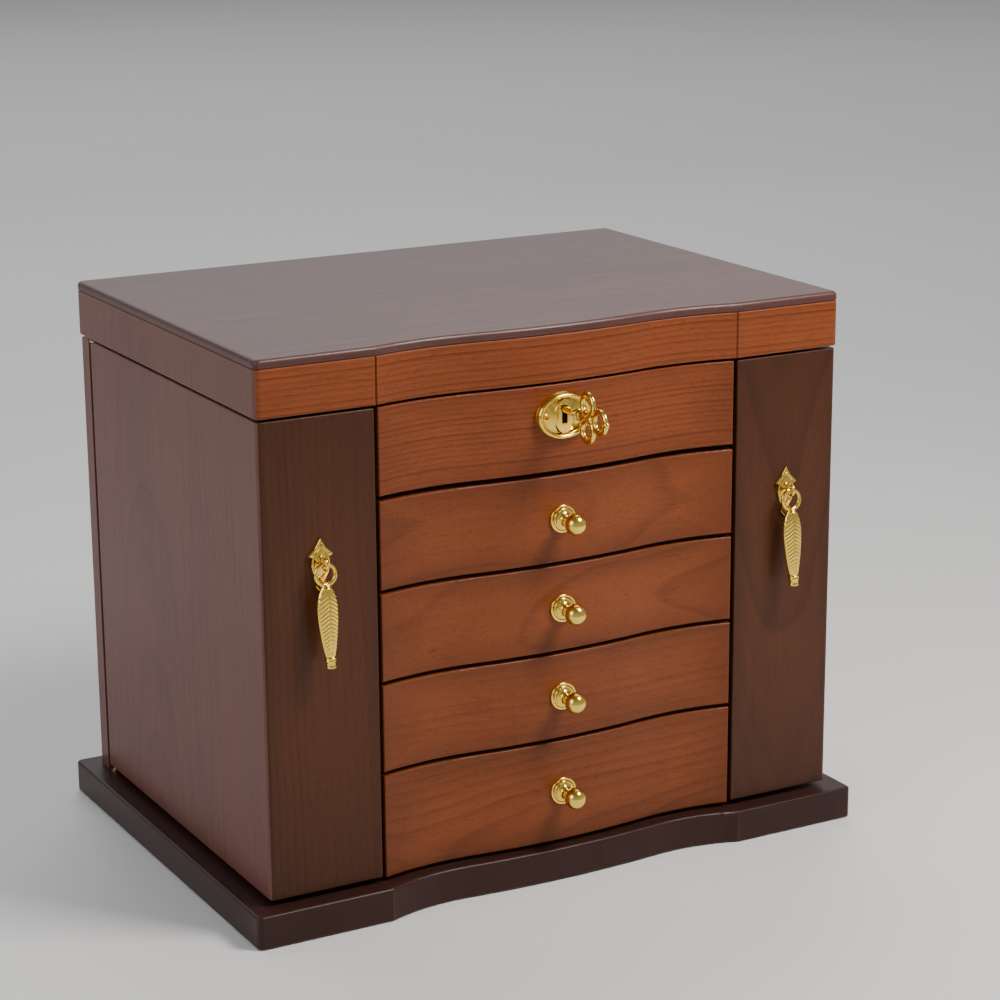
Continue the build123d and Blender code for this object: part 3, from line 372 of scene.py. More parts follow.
drawer_logs = {
    1: ((0.173, 0.226), 0.14, 0.0130, 0.045, 0.60, 5.0),
    2: ((0.167, 0.158), -0.15, 0.0110, 0.040, 0.60, 4.0),
    3: ((0.163, -0.240), 0.02, 0.0060, 0.012, 0.35, 2.2),
    4: ((0.163, 0.020), -0.12, 0.0062, 0.022, 0.50, 2.6),
}
drawer_woods = {
    number: stained_timber(f"drawer_{number}_stain", (0.215, 0.055, 0.016), (0.060, 0.016, 0.006),
                           move=(0.07 * number - 0.2, 0, 0), gather=0.35, **dict(zip(log_values, log)))
    for number, log in drawer_logs.items()
}
print("timber materials", 7 + len(drawer_woods))


def dress(node_name, material):
    """Give a CAD node its finish, in the slots it already has."""
    for material_slot in nodes[node_name].material_slots:
        material_slot.material = material


sides = {"left": -1, "right": 1}
for node_name in ("lid_top", "lid_back_rail"):
    dress(node_name, lid_wood)
for node_name in ("left_wing_side", "right_wing_side", "back_panel", "left_lid_rail", "right_lid_rail"):
    dress(node_name, case_wood)
dress("lock_panel", stripe_wood)
dress("lid_front_centre", lid_front_wood)
dress("lid_front_ends", lid_front_wood)
for side in sides:
    dress(f"{side}_wing_strip", strip_wood)
for node_name in ("base_plinth", "base_front_moulding"):
    dress(node_name, base_wood)
for number, material in drawer_woods.items():
    dress(f"drawer_{number}_front", material)
    dress(f"drawer_{number}_box", inner_wood)
for node_name in ("left_partition", "right_partition", "dust_boards", "tray_floor"):
    dress(node_name, inner_wood)
for side in sides:
    dress(f"{side}_wing_caps", inner_wood)

# %% [markdown]
# ## Brass
# The knobs, key, pulls and lock plate are polished brass under clear lacquer. Brass has almost no
# colour of its own apart from what it mirrors, so the gold comes from the metallic base colour, and
# the life comes from tiny differences in how sharp the mirror is. Hands leave faint clouds, and
# polishing leaves hairlines. Deep corners go dull and brown because the cloth never reaches them.

# %% Brass group and materials
handled, start, end = open_group(
    "handled_brass",
    [("Vector", "v", (0, 0, 0)), ("Bright", "c", (0.9, 0.7, 0.3, 1)), ("Dull", "c", (0.3, 0.2, 0.07, 1)),
     ("Polish", "f", 0.12)],
    [("Color", "c"), ("Roughness", "f"), ("Height", "f")],
)
given = start.outputs
clouds = noise(handled, given["Vector"], 260.0, 3.0)
hairlines = noise(handled, stretched(handled, given["Vector"], (900.0, 900.0, 4200.0)), 1.0, 2.0)
shelter = add_node(handled, "ShaderNodeAmbientOcclusion", {"Distance": 0.004}, samples=6, only_local=True)
open_air = remap(handled, shelter.outputs["AO"], 0.35, 0.85, 0.0, 1.0)
handled.links.new(mix(handled, open_air, given["Dull"], given["Bright"]), end.inputs["Color"])
smeared = calc(handled, "MULTIPLY_ADD", clouds, 0.14, given["Polish"])
handled.links.new(calc(handled, "MULTIPLY_ADD", hairlines, 0.06, smeared), end.inputs["Roughness"])
handled.links.new(hairlines, end.inputs["Height"])


def brass(name, bright, dull, polish):
    """One brass finish."""
    material, tree, shader, place = open_material(name)
    values = {"Vector": place, "Bright": (*bright, 1), "Dull": (*dull, 1), "Polish": polish}
    metal = use_group(tree, handled, values).outputs
    tree.links.new(metal["Color"], shader.inputs["Base Color"])
    tree.links.new(metal["Roughness"], shader.inputs["Roughness"])
    shader.inputs["Metallic"].default_value = 1.0
    relief(tree, shader, metal["Height"], 0.01, 0.25)
    return material


polished_brass = brass("polished_brass", (0.97, 0.66, 0.12), (0.22, 0.11, 0.02), 0.05)
hinge_brass = brass("hinge_brass", (0.80, 0.60, 0.26), (0.26, 0.16, 0.05), 0.20)
lock_steel = brass("lock_steel", (0.50, 0.49, 0.47), (0.14, 0.12, 0.10), 0.30)
hinge_nodes = ("wing_pivots", "lid_hinge_case_leaves", "lid_hinge_lid_leaves", "lid_hinge_pins")
for node_name in (*hinge_nodes, "strike_plate"):
    dress(node_name, hinge_brass)
for node_name in ("lock_case", "lock_bolt"):
    dress(node_name, lock_steel)
dress("escutcheon_screws", polished_brass)
print("brass materials", polished_brass.name, hinge_brass.name, lock_steel.name)

# %% [markdown]
# ## Shapes from rings
# Nearly all turned, stamped and sewn parts can be described as a stack of closed rings: circles on
# a lathe, ovals on a stamped plate, rounded rectangles on a padded tray. `skin` joins rings that
# have the same number of points, and `piece` makes the object, smooths it and fixes it to its body.

# %% Ring helpers


def skin(rings, close_start=True, close_end=True, loop=False):
    """Points and faces of a surface through closed rings with equal numbers of points."""
    count = len(rings[0])
    points = [tuple(p) for ring in rings for p in ring]
    faces = []
    steps = len(rings) if loop else len(rings) - 1
    for k in range(steps):
        low, high = k * count, ((k + 1) % len(rings)) * count
        for j in range(count):
            after = (j + 1) % count
            faces.append((low + j, low + after, high + after, high + j))
    if close_start and not loop:
        faces.append(tuple(reversed(range(count))))
    if close_end and not loop:
        faces.append(tuple(range(len(points) - count, len(points))))
    return points, faces


def merged(*surfaces):
    """Several surfaces as one list of points and faces."""
    points, faces = [], []
    for some_points, some_faces in surfaces:
        faces += [tuple(i + len(points) for i in face) for face in some_faces]
        points += list(some_points)
    return points, faces


def piece(name, surface, body, material, stands_for=(), sharp_angle=40.0):
    """A mesh object from points and faces, shaded smooth below the sharp angle, riding on its body."""
    mesh = bpy.data.meshes.new(name)
    mesh.from_pydata([tuple(p) for p in surface[0]], [], surface[1])
    made = bpy.data.objects.new(name, mesh)
    bpy.context.scene.collection.objects.link(made)
    tidy = bmesh.new()
    tidy.from_mesh(mesh)
    bmesh.ops.recalc_face_normals(tidy, faces=tidy.faces)
    for face in tidy.faces:
        face.smooth = True
    for line in tidy.edges:
        line.smooth = line.calc_face_angle(0.0) < math.radians(sharp_angle)
    tidy.to_mesh(mesh)
    tidy.free()
    mesh.materials.append(material)
    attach(made, body)
    if stands_for:
        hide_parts(*stands_for)
    return made


def circle(centre, across, upright, radius, count=48, radius_up=None):
    """A ring about a centre in the plane of two unit vectors. A second radius makes it an oval."""
    radius_up = radius if radius_up is None else radius_up
    turns = [2 * math.pi * j / count for j in range(count)]
    return [centre + across * radius * math.cos(t) + upright * radius_up * math.sin(t) for t in turns]


def frame_of(axis):
    """Two unit vectors square to an axis."""
    across = axis.orthogonal().normalized()
    return across, axis.cross(across)


def turned(profile, foot, axis, count=48):
    """A lathe-turned surface: `profile` holds (radius, distance along the axis) in millimetres."""
    across, upright = frame_of(axis)
    return skin([circle(foot + axis * h * mm, across, upright, max(r, 0.02) * mm, count) for r, h in profile])


def arc(centre, radius, first, last, steps):
    """Points of a profile along a circular arc, angles in degrees."""
    angles = [math.radians(first + (last - first) * k / steps) for k in range(steps + 1)]
    return [(centre[0] + radius * math.cos(a), centre[1] + radius * math.sin(a)) for a in angles]


def wire(path, radius, count=16, closed=False):
    """A round wire along a path of points, with rounded ends when it is open."""
    path = [Vector(p) for p in path]
    rings, upright = [], None
    for k, point in enumerate(path):
        before = path[k - 1] if k or closed else path[0]
        after = path[(k + 1) % len(path)] if k + 1 < len(path) or closed else path[-1]
        ahead = (after - before).normalized()
        side = ahead.orthogonal() if upright is None else upright - ahead * upright.dot(ahead)
        upright = side.normalized()
        rings.append((point, ahead, upright))
    if closed:
        return skin([circle(p, u, a.cross(u), radius, count) for p, a, u in rings], loop=True)
    made = []
    for (p, a, u), direction in ((rings[0], -1), (rings[-1], 1)):
        cap = [circle(p + a * direction * radius * math.sin(t), u, a.cross(u), radius * math.cos(t), count)
               for t in (1.5, 1.2, 0.8, 0.4)]
        made.append(cap if direction < 0 else cap[::-1])
    middle = [circle(p, u, a.cross(u), radius, count) for p, a, u in rings]
    return skin(made[0] + middle + made[1])


def rounded_rectangle(centre, half_x, half_y, radius, per_corner=6, per_side=10):
    """A ring round a rectangle with rounded corners, in the XY plane."""
    radius = min(radius, half_x, half_y)
    corners = [(1, 1, 0), (-1, 1, 90), (-1, -1, 180), (1, -1, 270)]
    ring = []
    for k, (sx, sy, turn) in enumerate(corners):
        middle = Vector((sx * (half_x - radius), sy * (half_y - radius), 0))
        for j in range(per_corner + 1):
            t = math.radians(turn + 90 * j / per_corner)
            ring.append(centre + middle + Vector((math.cos(t), math.sin(t), 0)) * radius)
        nx, ny, next_turn = corners[(k + 1) % 4]
        next_middle = Vector((nx * (half_x - radius), ny * (half_y - radius), 0))
        t = math.radians(next_turn)
        ahead = centre + next_middle + Vector((math.cos(t), math.sin(t), 0)) * radius
        behind = ring[-1]
        ring += [behind.lerp(ahead, (j + 1) / per_side) for j in range(per_side - 1)]
    return ring


out, right, up_axis = Vector((0, -1, 0)), Vector((1, 0, 0)), Vector((0, 0, 1))
print("ring of", len(rounded_rectangle(Vector(), 1, 1, 0.1)), "points")

# %% [markdown]
# ## Drawer knobs
# A knob is turned from a brass bar: a stepped flange that hides the screw hole, a thin neck for the
# fingertips, and a ball. The four sizes are the joiner's own and the place comes from each knob's box,
# so the profile below only adds the beads and coves that a turner would cut. A screw from inside
# the drawer holds it.

# %% Knobs
ball_radius, ball_reach, flange_radius, neck_radius = 6.4, 15.0, 8.4, 2.8
neck_angle = math.degrees(math.asin(neck_radius / ball_radius))
knob_profile = (
    [(flange_radius - 0.1, 0.0), (flange_radius, 0.3)]
    + arc((flange_radius - 0.75, 0.85), 0.75, 0, 90, 6)
    + [(flange_radius - 1.4, 1.6), (flange_radius - 1.5, 1.35)]
    + arc((flange_radius - 2.6, 1.5), 0.8, 0, 90, 5)
    + [(5.4, 2.3), (5.3, 2.1)]
    + arc((6.6, 6.2), 3.8, 252, 180, 9)
    + [(neck_radius, 7.4)]
    + arc((neck_radius, 8.1), 0.5, -90, 90, 5)
    + arc((0, ball_reach), ball_radius, -90 + neck_angle, 90, 22)
)


def slotted_head(foot, axis, radius, dome, slot_width, slot_depth, slot_turn=0.4, count=48):
    """A domed screw head with a single slot, all in millimetres."""
    across, upright = frame_of(axis)
    shares = [1.0, 1.0, 0.97, 0.9, 0.8, 0.68, 0.56, 0.44, 0.32, 0.2, 0.1, 0.02]
    rings = []
    for index, share in enumerate(shares):
        ring = []
        for j in range(count):
            t = 2 * math.pi * j / count
            x, y = share * radius * math.cos(t), share * radius * math.sin(t)
            off_slot = abs(-x * math.sin(slot_turn) + y * math.cos(slot_turn))
            lift = 0.0 if index == 0 else 0.35 * dome + 0.65 * dome * math.sqrt(max(0.0, 1 - share**2))
            if index and off_slot < slot_width:
                lift = max(0.05, lift - slot_depth)
            ring.append(foot + (across * x + upright * y + axis * lift) * mm)
        rings.append(ring)
    return skin(rings)


for number in range(1, 5):
    low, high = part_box(f"drawer_{number}_knob")
    flange_foot = Vector((0, low.y + (ball_reach + ball_radius) * mm, (low.z + high.z) / 2))
    knob = turned(knob_profile, flange_foot, out, 64)
    inside = Vector((0, high.y - 1.6 * mm, flange_foot.z))
    screw = slotted_head(inside, -out, 3.0, 1.6, 0.4, 0.7)
    piece(f"drawer_{number}_turned_knob", merged(knob, screw), f"drawer_{number}", polished_brass,
          (f"drawer_{number}_knob",), 50.0)
print("knob profile points", len(knob_profile))

# %% [markdown]
# ## Lock plate
# The plate round the keyhole is stamped from sheet: a raised rim, a sunken oval field, and a boss
# with the keyhole. We could cut the hole with a boolean, but rings are cleaner. The first ring is
# the keyhole's own outline, the last is the oval edge, and the ones between blend from one to the other.

# %% Lock plate
low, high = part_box("escutcheon")
plate_middle = Vector(((low.x + high.x) / 2, high.y, (low.z + high.z) / 2))
plate_half_x, plate_half_z = (high.x - low.x) / 2 / mm, (high.z - low.z) / 2 / mm
rim_height = (high.y - low.y) / mm
eye_radius, eye_rise, slot_half, slot_drop = 2.5, 4.0, 1.6, 4.0
plate_points = 96


def keyhole_ring(grow, lift):
    """The keyhole's outline, a round eye over a slot, seen from the middle of the plate."""
    ring = []
    for j in range(plate_points):
        t = 2 * math.pi * j / plate_points
        dx, dz = math.cos(t), math.sin(t)
        reach = min((slot_half + grow) / max(abs(dx), 1e-6), (slot_drop + grow) / max(-dz, 1e-6))
        if dz > 0:
            reach = (slot_half + grow) / max(abs(dx), 1e-6)
        inside_root = (eye_radius + grow) ** 2 - (eye_rise * dx) ** 2
        if inside_root > 0 and dz > 0:
            reach = max(min(reach, eye_rise * dz), eye_rise * dz + math.sqrt(inside_root))
        ring.append(plate_middle + (right * dx + up_axis * dz) * reach * mm + out * lift * mm)
    return ring


def oval(half_x, half_z, lift):
    """One oval ring of the plate."""
    return circle(plate_middle + out * lift * mm, right, up_axis, half_x * mm, plate_points, half_z * mm)


boss_x, boss_z, field_lift = 6.4, plate_half_z - 3.6, 1.4
rim_middle, rim_half = 2.05, 1.65
plate_rings = [keyhole_ring(0.0, 0.05), keyhole_ring(0.0, 2.3), keyhole_ring(0.25, 2.75)]
plate_rings += [oval(boss_x - 1.0, boss_z - 0.5, 2.9), oval(boss_x - 0.3, boss_z - 0.2, 2.6)]
plate_rings += [oval(boss_x, boss_z, 1.7), oval(boss_x + 0.4, boss_z + 0.05, field_lift + 0.05)]
for step in range(13):
    t = math.pi * step / 12
    inset = rim_middle + rim_half * math.cos(t)
    lift = field_lift + (rim_height - field_lift) * math.sin(t)
    plate_rings.append(oval(plate_half_x - inset, plate_half_z - inset, lift))
plate_rings += [oval(plate_half_x - 0.15, plate_half_z - 0.15, 0.9), oval(plate_half_x, plate_half_z, 0.3)]
plate_rings += [oval(plate_half_x, plate_half_z, 0.0), oval(plate_half_x - 1, plate_half_z - 1, 0.02)]
piece("stamped_lock_plate", skin(plate_rings, loop=True), "chest", polished_brass, ("escutcheon",),
      50.0)
print("lock plate rings", len(plate_rings))

# %% [markdown]
# ## Key
# The key is cast and filed: a round shank with a few beads, a bit that lifts the lock's lever, and a
# bow of three rings, which gives the fingers something to turn. Rings made from a closed wire keep
# their round section all the way, where a drilled plate would have flat faces.

# %% Key
low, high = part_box("key")
key_middle = Vector((0, high.y, (low.z + high.z) / 2))
face_reach = (high.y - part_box("escutcheon")[1].y) / mm
bow_start = face_reach + 19.0
shank_radius = 2.2
bead_half = 0.95
beads = [(bow_start - 3.0, 3.1), (bow_start - 0.6, 3.7), (bow_start + 1.6, 2.9)]
shank_profile = [(1.3, 0.0), (2.0, 0.4), (shank_radius, 1.0), (shank_radius, bow_start - 4.2)]
for reach, bead_radius in beads:
    for step in range(7):
        t = math.pi * step / 6
        bead_swell = (bead_radius - shank_radius) * math.sin(t)
        shank_profile.append((shank_radius + bead_swell, reach - bead_half * math.cos(t)))
shank_profile += [(shank_radius - 0.2, bow_start + 4.0), (1.2, bow_start + 6.5)]
shank = turned(shank_profile, key_middle, out, 40)
bow = []
ring_radius, ring_wire, bow_flatness = 6.0, 1.95, 0.8
ring_rise, inner_ring, outer_ring = 7.4, 9.0, 22.4
for reach, rise in ((inner_ring, ring_rise), (inner_ring, -ring_rise), (outer_ring, 0.0)):
    middle = key_middle + out * (bow_start + reach) * mm + up_axis * rise * mm
    path = circle(middle, out, up_axis, ring_radius * mm, 48)
    points, faces = wire(path, ring_wire * mm, 16, closed=True)
    bow.append(([Vector((p[0] * bow_flatness, p[1], p[2])) for p in points], faces))
for reach, ball in ((13.6, 3.0), (29.3, 1.9)):
    middle = key_middle + out * (bow_start + reach - ball) * mm
    bow.append(turned(arc((0, ball), ball, -90, 90, 12), middle, out, 24))
bit_half, bit_depth, bit_drop, ward = 0.9, 3.6, 7.0, 1.2
bit_outline = [(0.0, -0.5), (bit_depth, -0.5), (bit_depth, -bit_drop), (bit_depth / 2 + ward / 2, -bit_drop),
               (bit_depth / 2 + ward / 2, -bit_drop + 2), (bit_depth / 2 - ward / 2, -bit_drop + 2),
               (bit_depth / 2 - ward / 2, -bit_drop), (0.0, -bit_drop)]
bit = skin([[key_middle + right * x * mm + out * y * mm + up_axis * z * mm for y, z in bit_outline]
            for x in (-bit_half, bit_half)])
piece("cast_key", merged(shank, bit, *bow), "key", polished_brass, ("key",), 50.0)
print("key reaches", round(bow_start + outer_ring + ring_radius + ring_wire, 1), "mm")

# %% [markdown]
# ## Pendant pulls
# Each wing has a pull in two castings. The plate is an arrow head with a chased border, and carries
# an eye. The drop is a leaf with a sunken vein and slanting ribs, hung from a ring. The leaf is a
# stack of ovals whose radius is pushed in along the vein and rippled along the ribs, the way a
# chaser would punch it, because bump alone would leave its outline smooth.

# %% Pull plates
plate_outline = [(0, 13.5), (3.2, 8.2), (7.6, 4.0), (4.9, 4.2), (5.8, -1.5), (4.6, -7.0), (2.6, -10.5),
                 (3.4, -14.0), (0, -18.0)]
whole_outline = plate_outline + [(-x, z) for x, z in reversed(plate_outline[1:-1])]
steps_between = 8
plate_steps = [(1.0, 0.0), (1.0, 1.2), (0.97, 1.7), (0.90, 2.0), (0.84, 2.0), (0.80, 1.6), (0.74, 1.55),
               (0.69, 2.0), (0.5, 2.3), (0.3, 2.5), (0.05, 2.6)]


def outline_ring(centre, scale, lift):
    """The arrow plate's outline, shrunk about its middle and lifted off the wood."""
    ring = []
    for k, (x, z) in enumerate(whole_outline):
        next_x, next_z = whole_outline[(k + 1) % len(whole_outline)]
        for j in range(steps_between):
            share = j / steps_between
            px, pz = x + (next_x - x) * share, z + (next_z - z) * share
            ring.append(centre + right * px * scale * mm + up_axis * pz * scale * mm + out * lift * mm)
    return ring


pull_joints = {joint["child"]: Vector(joint["pos_m"]) for joint in frame["joints"] if "pull" in joint["name"]}
eye_radius, eye_wire, stem_radius = 3.1, 0.95, 2.2
for side in sides:
    pivot = pull_joints[f"{side}_drop"]
    plate_foot = Vector((pivot.x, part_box(f"{side}_pull_plate")[1].y, pivot.z))
    pivot_out = (plate_foot.y - pivot.y) / mm
    stamped = skin([outline_ring(plate_foot, scale, lift) for scale, lift in plate_steps])
    stem_profile = [(stem_radius + 1.6, 2.0), (stem_radius + 1.4, 2.8), (stem_radius, 3.1)]
    stem_profile.append((stem_radius - 0.5, pivot_out - eye_radius))
    stem = turned(stem_profile, plate_foot, out, 32)
    eye = wire(circle(pivot, out, up_axis, eye_radius * mm, 40), eye_wire * mm, 14, closed=True)
    pins = [slotted_head(plate_foot + (up_axis * rise + out * 1.6) * mm, out, 1.3, 0.9, 0.2, 0.4, count=24)
            for rise in (8.6, -12.6)]
    piece(f"{side}_chased_pull_plate", merged(stamped, stem, eye, *pins), f"{side}_wing", polished_brass,
          (f"{side}_pull_plate",), 38.0)
print("pull plate outline points", len(whole_outline) * steps_between)

# %% Pull drops
lean = math.radians(5.0)
down = Vector((0, -math.sin(lean), -math.cos(lean)))
front = Vector((0, -math.cos(lean), math.sin(lean)))
ring_radius, ring_wire = 5.9, 1.2
leaf_at = (12.0, 15.8, 27.0, 42.0, 52.5)
leaf_wide, leaf_thick = (2.6, 4.6, 6.4, 5.0, 2.9), (2.2, 2.7, 3.2, 2.9, 2.3)
width_curve, thickness_curve = np.polyfit(leaf_at, leaf_wide, 4), np.polyfit(leaf_at, leaf_thick, 4)
leaf_rows, leaf_columns, rib_pitch, rib_slant = 150, 72, 2.3, 0.75
leaf_rings = []
for row in range(leaf_rows + 1):
    reach = leaf_at[0] + (leaf_at[-1] - leaf_at[0]) * row / leaf_rows
    half_wide, half_thick = np.polyval(width_curve, reach), np.polyval(thickness_curve, reach)
    fade = math.sin(math.pi * min(1.0, max(0.0, (reach - 13.5) / 37.0))) ** 0.5
    ring = []
    for column in range(leaf_columns):
        t = 2 * math.pi * column / leaf_columns
        x, lift = half_wide * math.cos(t), half_thick * math.sin(t)
        beside_vein = 1 - math.exp(-((x / 1.0) ** 2))
        rib = 0.14 * fade * beside_vein * math.sin(2 * math.pi * (reach - rib_slant * abs(x)) / rib_pitch)
        vein = -0.65 * fade * math.exp(-((x / 0.55) ** 2))
        lift += (rib + vein) * math.copysign(min(1.0, abs(math.sin(t)) * 1.6), lift)
        ring.append((x, lift, reach))
    leaf_rings.append(ring)
cap_profile = [(2.4, 51.9), (3.4, 52.4), (3.5, 52.9), (3.1, 53.3), (3.1, 53.6), (3.4, 54.0), (3.4, 54.5),
               (2.9, 54.9), (2.8, 57.2), (3.1, 57.7), (3.0, 58.3), (2.2, 58.8), (1.0, 59.0)]
collar_profile = [(1.4, 11.2), (2.3, 11.5), (2.6, 12.0), (2.3, 12.5), (3.0, 13.0), (3.2, 13.5), (2.8, 14.0)]
for side in sides:
    pivot = pull_joints[f"{side}_drop"]
    leaf = skin([[pivot + (right * x + front * lift + down * reach) * mm for x, lift, reach in ring]
                 for ring in leaf_rings])
    hanger_path = circle(pivot + down * ring_radius * mm, right, down, ring_radius * mm, 48)
    hanger = wire(hanger_path, ring_wire * mm, 14, closed=True)
    cap, collar = turned(cap_profile, pivot, down, 40), turned(collar_profile, pivot, down, 40)
    piece(f"{side}_leaf_drop", merged(leaf, hanger, cap, collar), f"{side}_drop", polished_brass,
          (f"{side}_pull_drop",), 60.0)
print("leaf rings", len(leaf_rings))

# %% [markdown]
# ## Screws
# Hinge leaves, the strike plate and the hook rails are screwed on. A real screw sits a hair above
# its countersink, and its slot never lines up with its neighbour's, so each one is turned by its own
# seeded amount.

# %% Screws
screw_turns = random.Random(7)


def screws(name, feet, axis, radius, body):
    """A row of small screw heads in one piece."""
    heads = [slotted_head(foot, axis, radius, 0.45, 0.28, 0.35, screw_turns.uniform(0, 3.1), 28)
             for foot in feet]
    return piece(name, merged(*heads), body, hinge_brass, (), 40.0)


case_low, case_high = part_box("lid_hinge_case_leaves")
hinge_length = 0.040
screw_columns = [sign * (case_high.x - hinge_length / 2) + shift
                 for sign in (-1, 1) for shift in (-0.013, 0, 0.013)]
screw_y = case_low.y + 3.6 * mm
strike_low, strike_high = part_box("strike_plate")
leaf_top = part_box("back_panel")[1].z
lid_leaf_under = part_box("lid_back_rail")[0].z
case_feet = [Vector((x, screw_y, leaf_top - 0.1 * mm)) for x in screw_columns]
screws("case_leaf_screws", case_feet, up_axis, 1.9, "chest")
screws("lid_leaf_screws", [Vector((x, screw_y + 3 * mm, lid_leaf_under + 0.1 * mm)) for x in screw_columns],
       -up_axis, 1.9, "lid")
strike_y = (strike_low.y + strike_high.y) / 2
strike_feet = [Vector((x, strike_y, lid_leaf_under + 0.1 * mm)) for x in (-0.014, -0.004)]
screws("strike_plate_screws", strike_feet, -up_axis,
       1.5, "lid")
print("screws", 2 * len(screw_columns) + 2)

# %% [markdown]
# ## Necklace hooks
# Each wing has a brass rail with six hooks bent from wire. A hook is one path: straight out of the
# rail, round a bend, and up to a ball tip that keeps chains from sliding off. Curves could do this
# too, but a swept ring of points closes the ends cleanly.

# %% Necklace hooks
hook_count, rail_height, rail_thickness, hook_wire = 6, 8.0, 1.6, 1.1
for side, sign in sides.items():
    low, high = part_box(f"{side}_wing_hooks")
    wall_x = low.x if sign < 0 else high.x
    inward = Vector((-sign, 0, 0))
    rail_z = low.z + rail_height / 2 * mm
    rail_middle = Vector((wall_x, (low.y + high.y) / 2, rail_z))
    length = high.y - low.y
    lifts = [(0.0, 0.0), (0.0, 1.1), (0.35, 1.5), (0.8, rail_thickness)]
    rail = []
    for inset, lift in lifts:
        half_length, half_height = length / 2 - inset * mm, (rail_height / 2 - inset) * mm
        flat = rounded_rectangle(Vector(), half_length, half_height, 2.0 * mm, 4, 14)
        rail.append([rail_middle + Vector((0, p.x, p.y)) + inward * lift * mm for p in flat])
    hooks = []
    for k in range(hook_count):
        root = rail_middle + Vector((0, (k - (hook_count - 1) / 2) * length / hook_count, -1.0 * mm))
        path = [root + inward * reach * mm for reach in (0.8, 2.5, 4.5, 6.5, 8.0)]
        for step in range(1, 9):
            t = math.radians(90 * step / 8)
            bend = inward * (8.0 + 2.6 * math.sin(t)) + up_axis * 2.6 * (1 - math.cos(t))
            path.append(root + bend * mm)
        path += [root + inward * 10.6 * mm + up_axis * rise * mm for rise in (3.4, 4.4, 5.2)]
        tip_foot = root + inward * 10.6 * mm + up_axis * 4.4 * mm
        tip = turned(arc((0, 1.5), 1.5, -90, 90, 8), tip_foot, up_axis, 16)
        collar = turned([(2.0, 1.3), (2.1, 1.9), (1.7, 2.4), (1.2, 2.6)], root, inward, 20)
        hooks += [wire(path, hook_wire * 0.82 * mm, 10), tip, collar]
    rail_face = rail_middle + inward * 1.5 * mm
    heads = [slotted_head(rail_face + Vector((0, y, 0)), inward, 1.8, 0.5, 0.25, 0.3, 0.9, 24)
             for y in (-length / 2 + 5 * mm, 0.0, length / 2 - 5 * mm)]
    piece(f"{side}_necklace_hooks", merged(skin(rail), *hooks, *heads), f"{side}_wing", hinge_brass,
          (f"{side}_wing_hooks",), 42.0)
print("hooks per wing", hook_count)

# %% [markdown]
# ## Cloth
# Velvet is a forest of short upright threads. It is dark where we look into the pile and pale where
# we look across it, which the sheen lobe of the shader gives. What makes it look like velvet and
# not plastic is the nap: strokes of a hand leave broad patches lying one way or the other. Satin
# is woven so that long threads float on top, so it shines in streaks. Felt is pressed and dull.

# %% Cloth group and materials
cloth, start, end = open_group(
    "brushed_cloth",
    [("Vector", "v", (0, 0, 0)), ("Light", "c", (0.6, 0.5, 0.4, 1)), ("Dark", "c", (0.4, 0.3, 0.2, 1)),
     ("Thread", "f", 0.0004), ("Nap", "f", 0.5)],
    [("Color", "c"), ("Roughness", "f"), ("Height", "f")],
)
given = start.outputs
strokes = noise(cloth, stretched(cloth, given["Vector"], (38.0, 22.0, 30.0)), 1.0, 3.0, 0.6)
density = calc(cloth, "DIVIDE", 1.0, given["Thread"])
threads = noise(cloth, given["Vector"], density, 2.0, 0.7)
lean_in = calc(cloth, "MULTIPLY", calc(cloth, "SUBTRACT", strokes, 0.5), given["Nap"])
thread_tone = calc(cloth, "MULTIPLY_ADD", threads, 0.5, 0.25)
tone = calc(cloth, "ADD", thread_tone, calc(cloth, "MULTIPLY", lean_in, 2.0), clamp=True)
cloth.links.new(mix(cloth, tone, given["Dark"], given["Light"]), end.inputs["Color"])
cloth.links.new(calc(cloth, "MULTIPLY_ADD", strokes, 0.2, 0.5), end.inputs["Roughness"])
cloth.links.new(threads, end.inputs["Height"])


def cloth_material(name, light, dark, thread_mm, nap, sheen, relief_mm, gloss=None):
    """One cloth: velvet and felt have sheen, satin has gloss along its floating threads."""
    material, tree, shader, place = open_material(name)
    values = {"Vector": place, "Light": (*light, 1), "Dark": (*dark, 1), "Thread": thread_mm * mm, "Nap": nap}
    weave = use_group(tree, cloth, values).outputs
    tree.links.new(weave["Color"], shader.inputs["Base Color"])
    if gloss is None:
        tree.links.new(weave["Roughness"], shader.inputs["Roughness"])
    else:
        tree.links.new(calc(tree, "MULTIPLY", weave["Roughness"], gloss), shader.inputs["Roughness"])
    shader.inputs["Sheen Weight"].default_value = sheen
    shader.inputs["Sheen Roughness"].default_value = 0.45
    shader.inputs["Sheen Tint"].default_value = (*(min(1.0, v * 1.4) for v in light), 1)
    relief(tree, shader, weave["Height"], relief_mm, 0.7)
    return material


velvet = cloth_material("ivory_velvet", (0.66, 0.53, 0.38), (0.40, 0.30, 0.20), 0.45, 0.55, 0.55, 0.25)
satin = cloth_material("champagne_satin", (0.70, 0.58, 0.42), (0.46, 0.36, 0.24), 0.30, 0.35, 0.15, 0.05,
                       gloss=0.55)
felt = cloth_material("black_felt", (0.045, 0.040, 0.038), (0.018, 0.016, 0.015), 0.8, 0.4, 0.25, 0.30)
print("cloth materials", velvet.name, satin.name, felt.name)

# %% [markdown]
# ## Linings
# A case maker wraps thin card in velvet and drops it into the box, so the lining has soft corners, a
# rolled top edge and a floor that swells a little over its wadding. One function makes every lining
# from the joiner's sizes: rings climb the outside, roll over the rim, come down the inside and
# close in across the floor.

# %% Drawer and tray linings
card, roll_radius = 1.5, 0.75


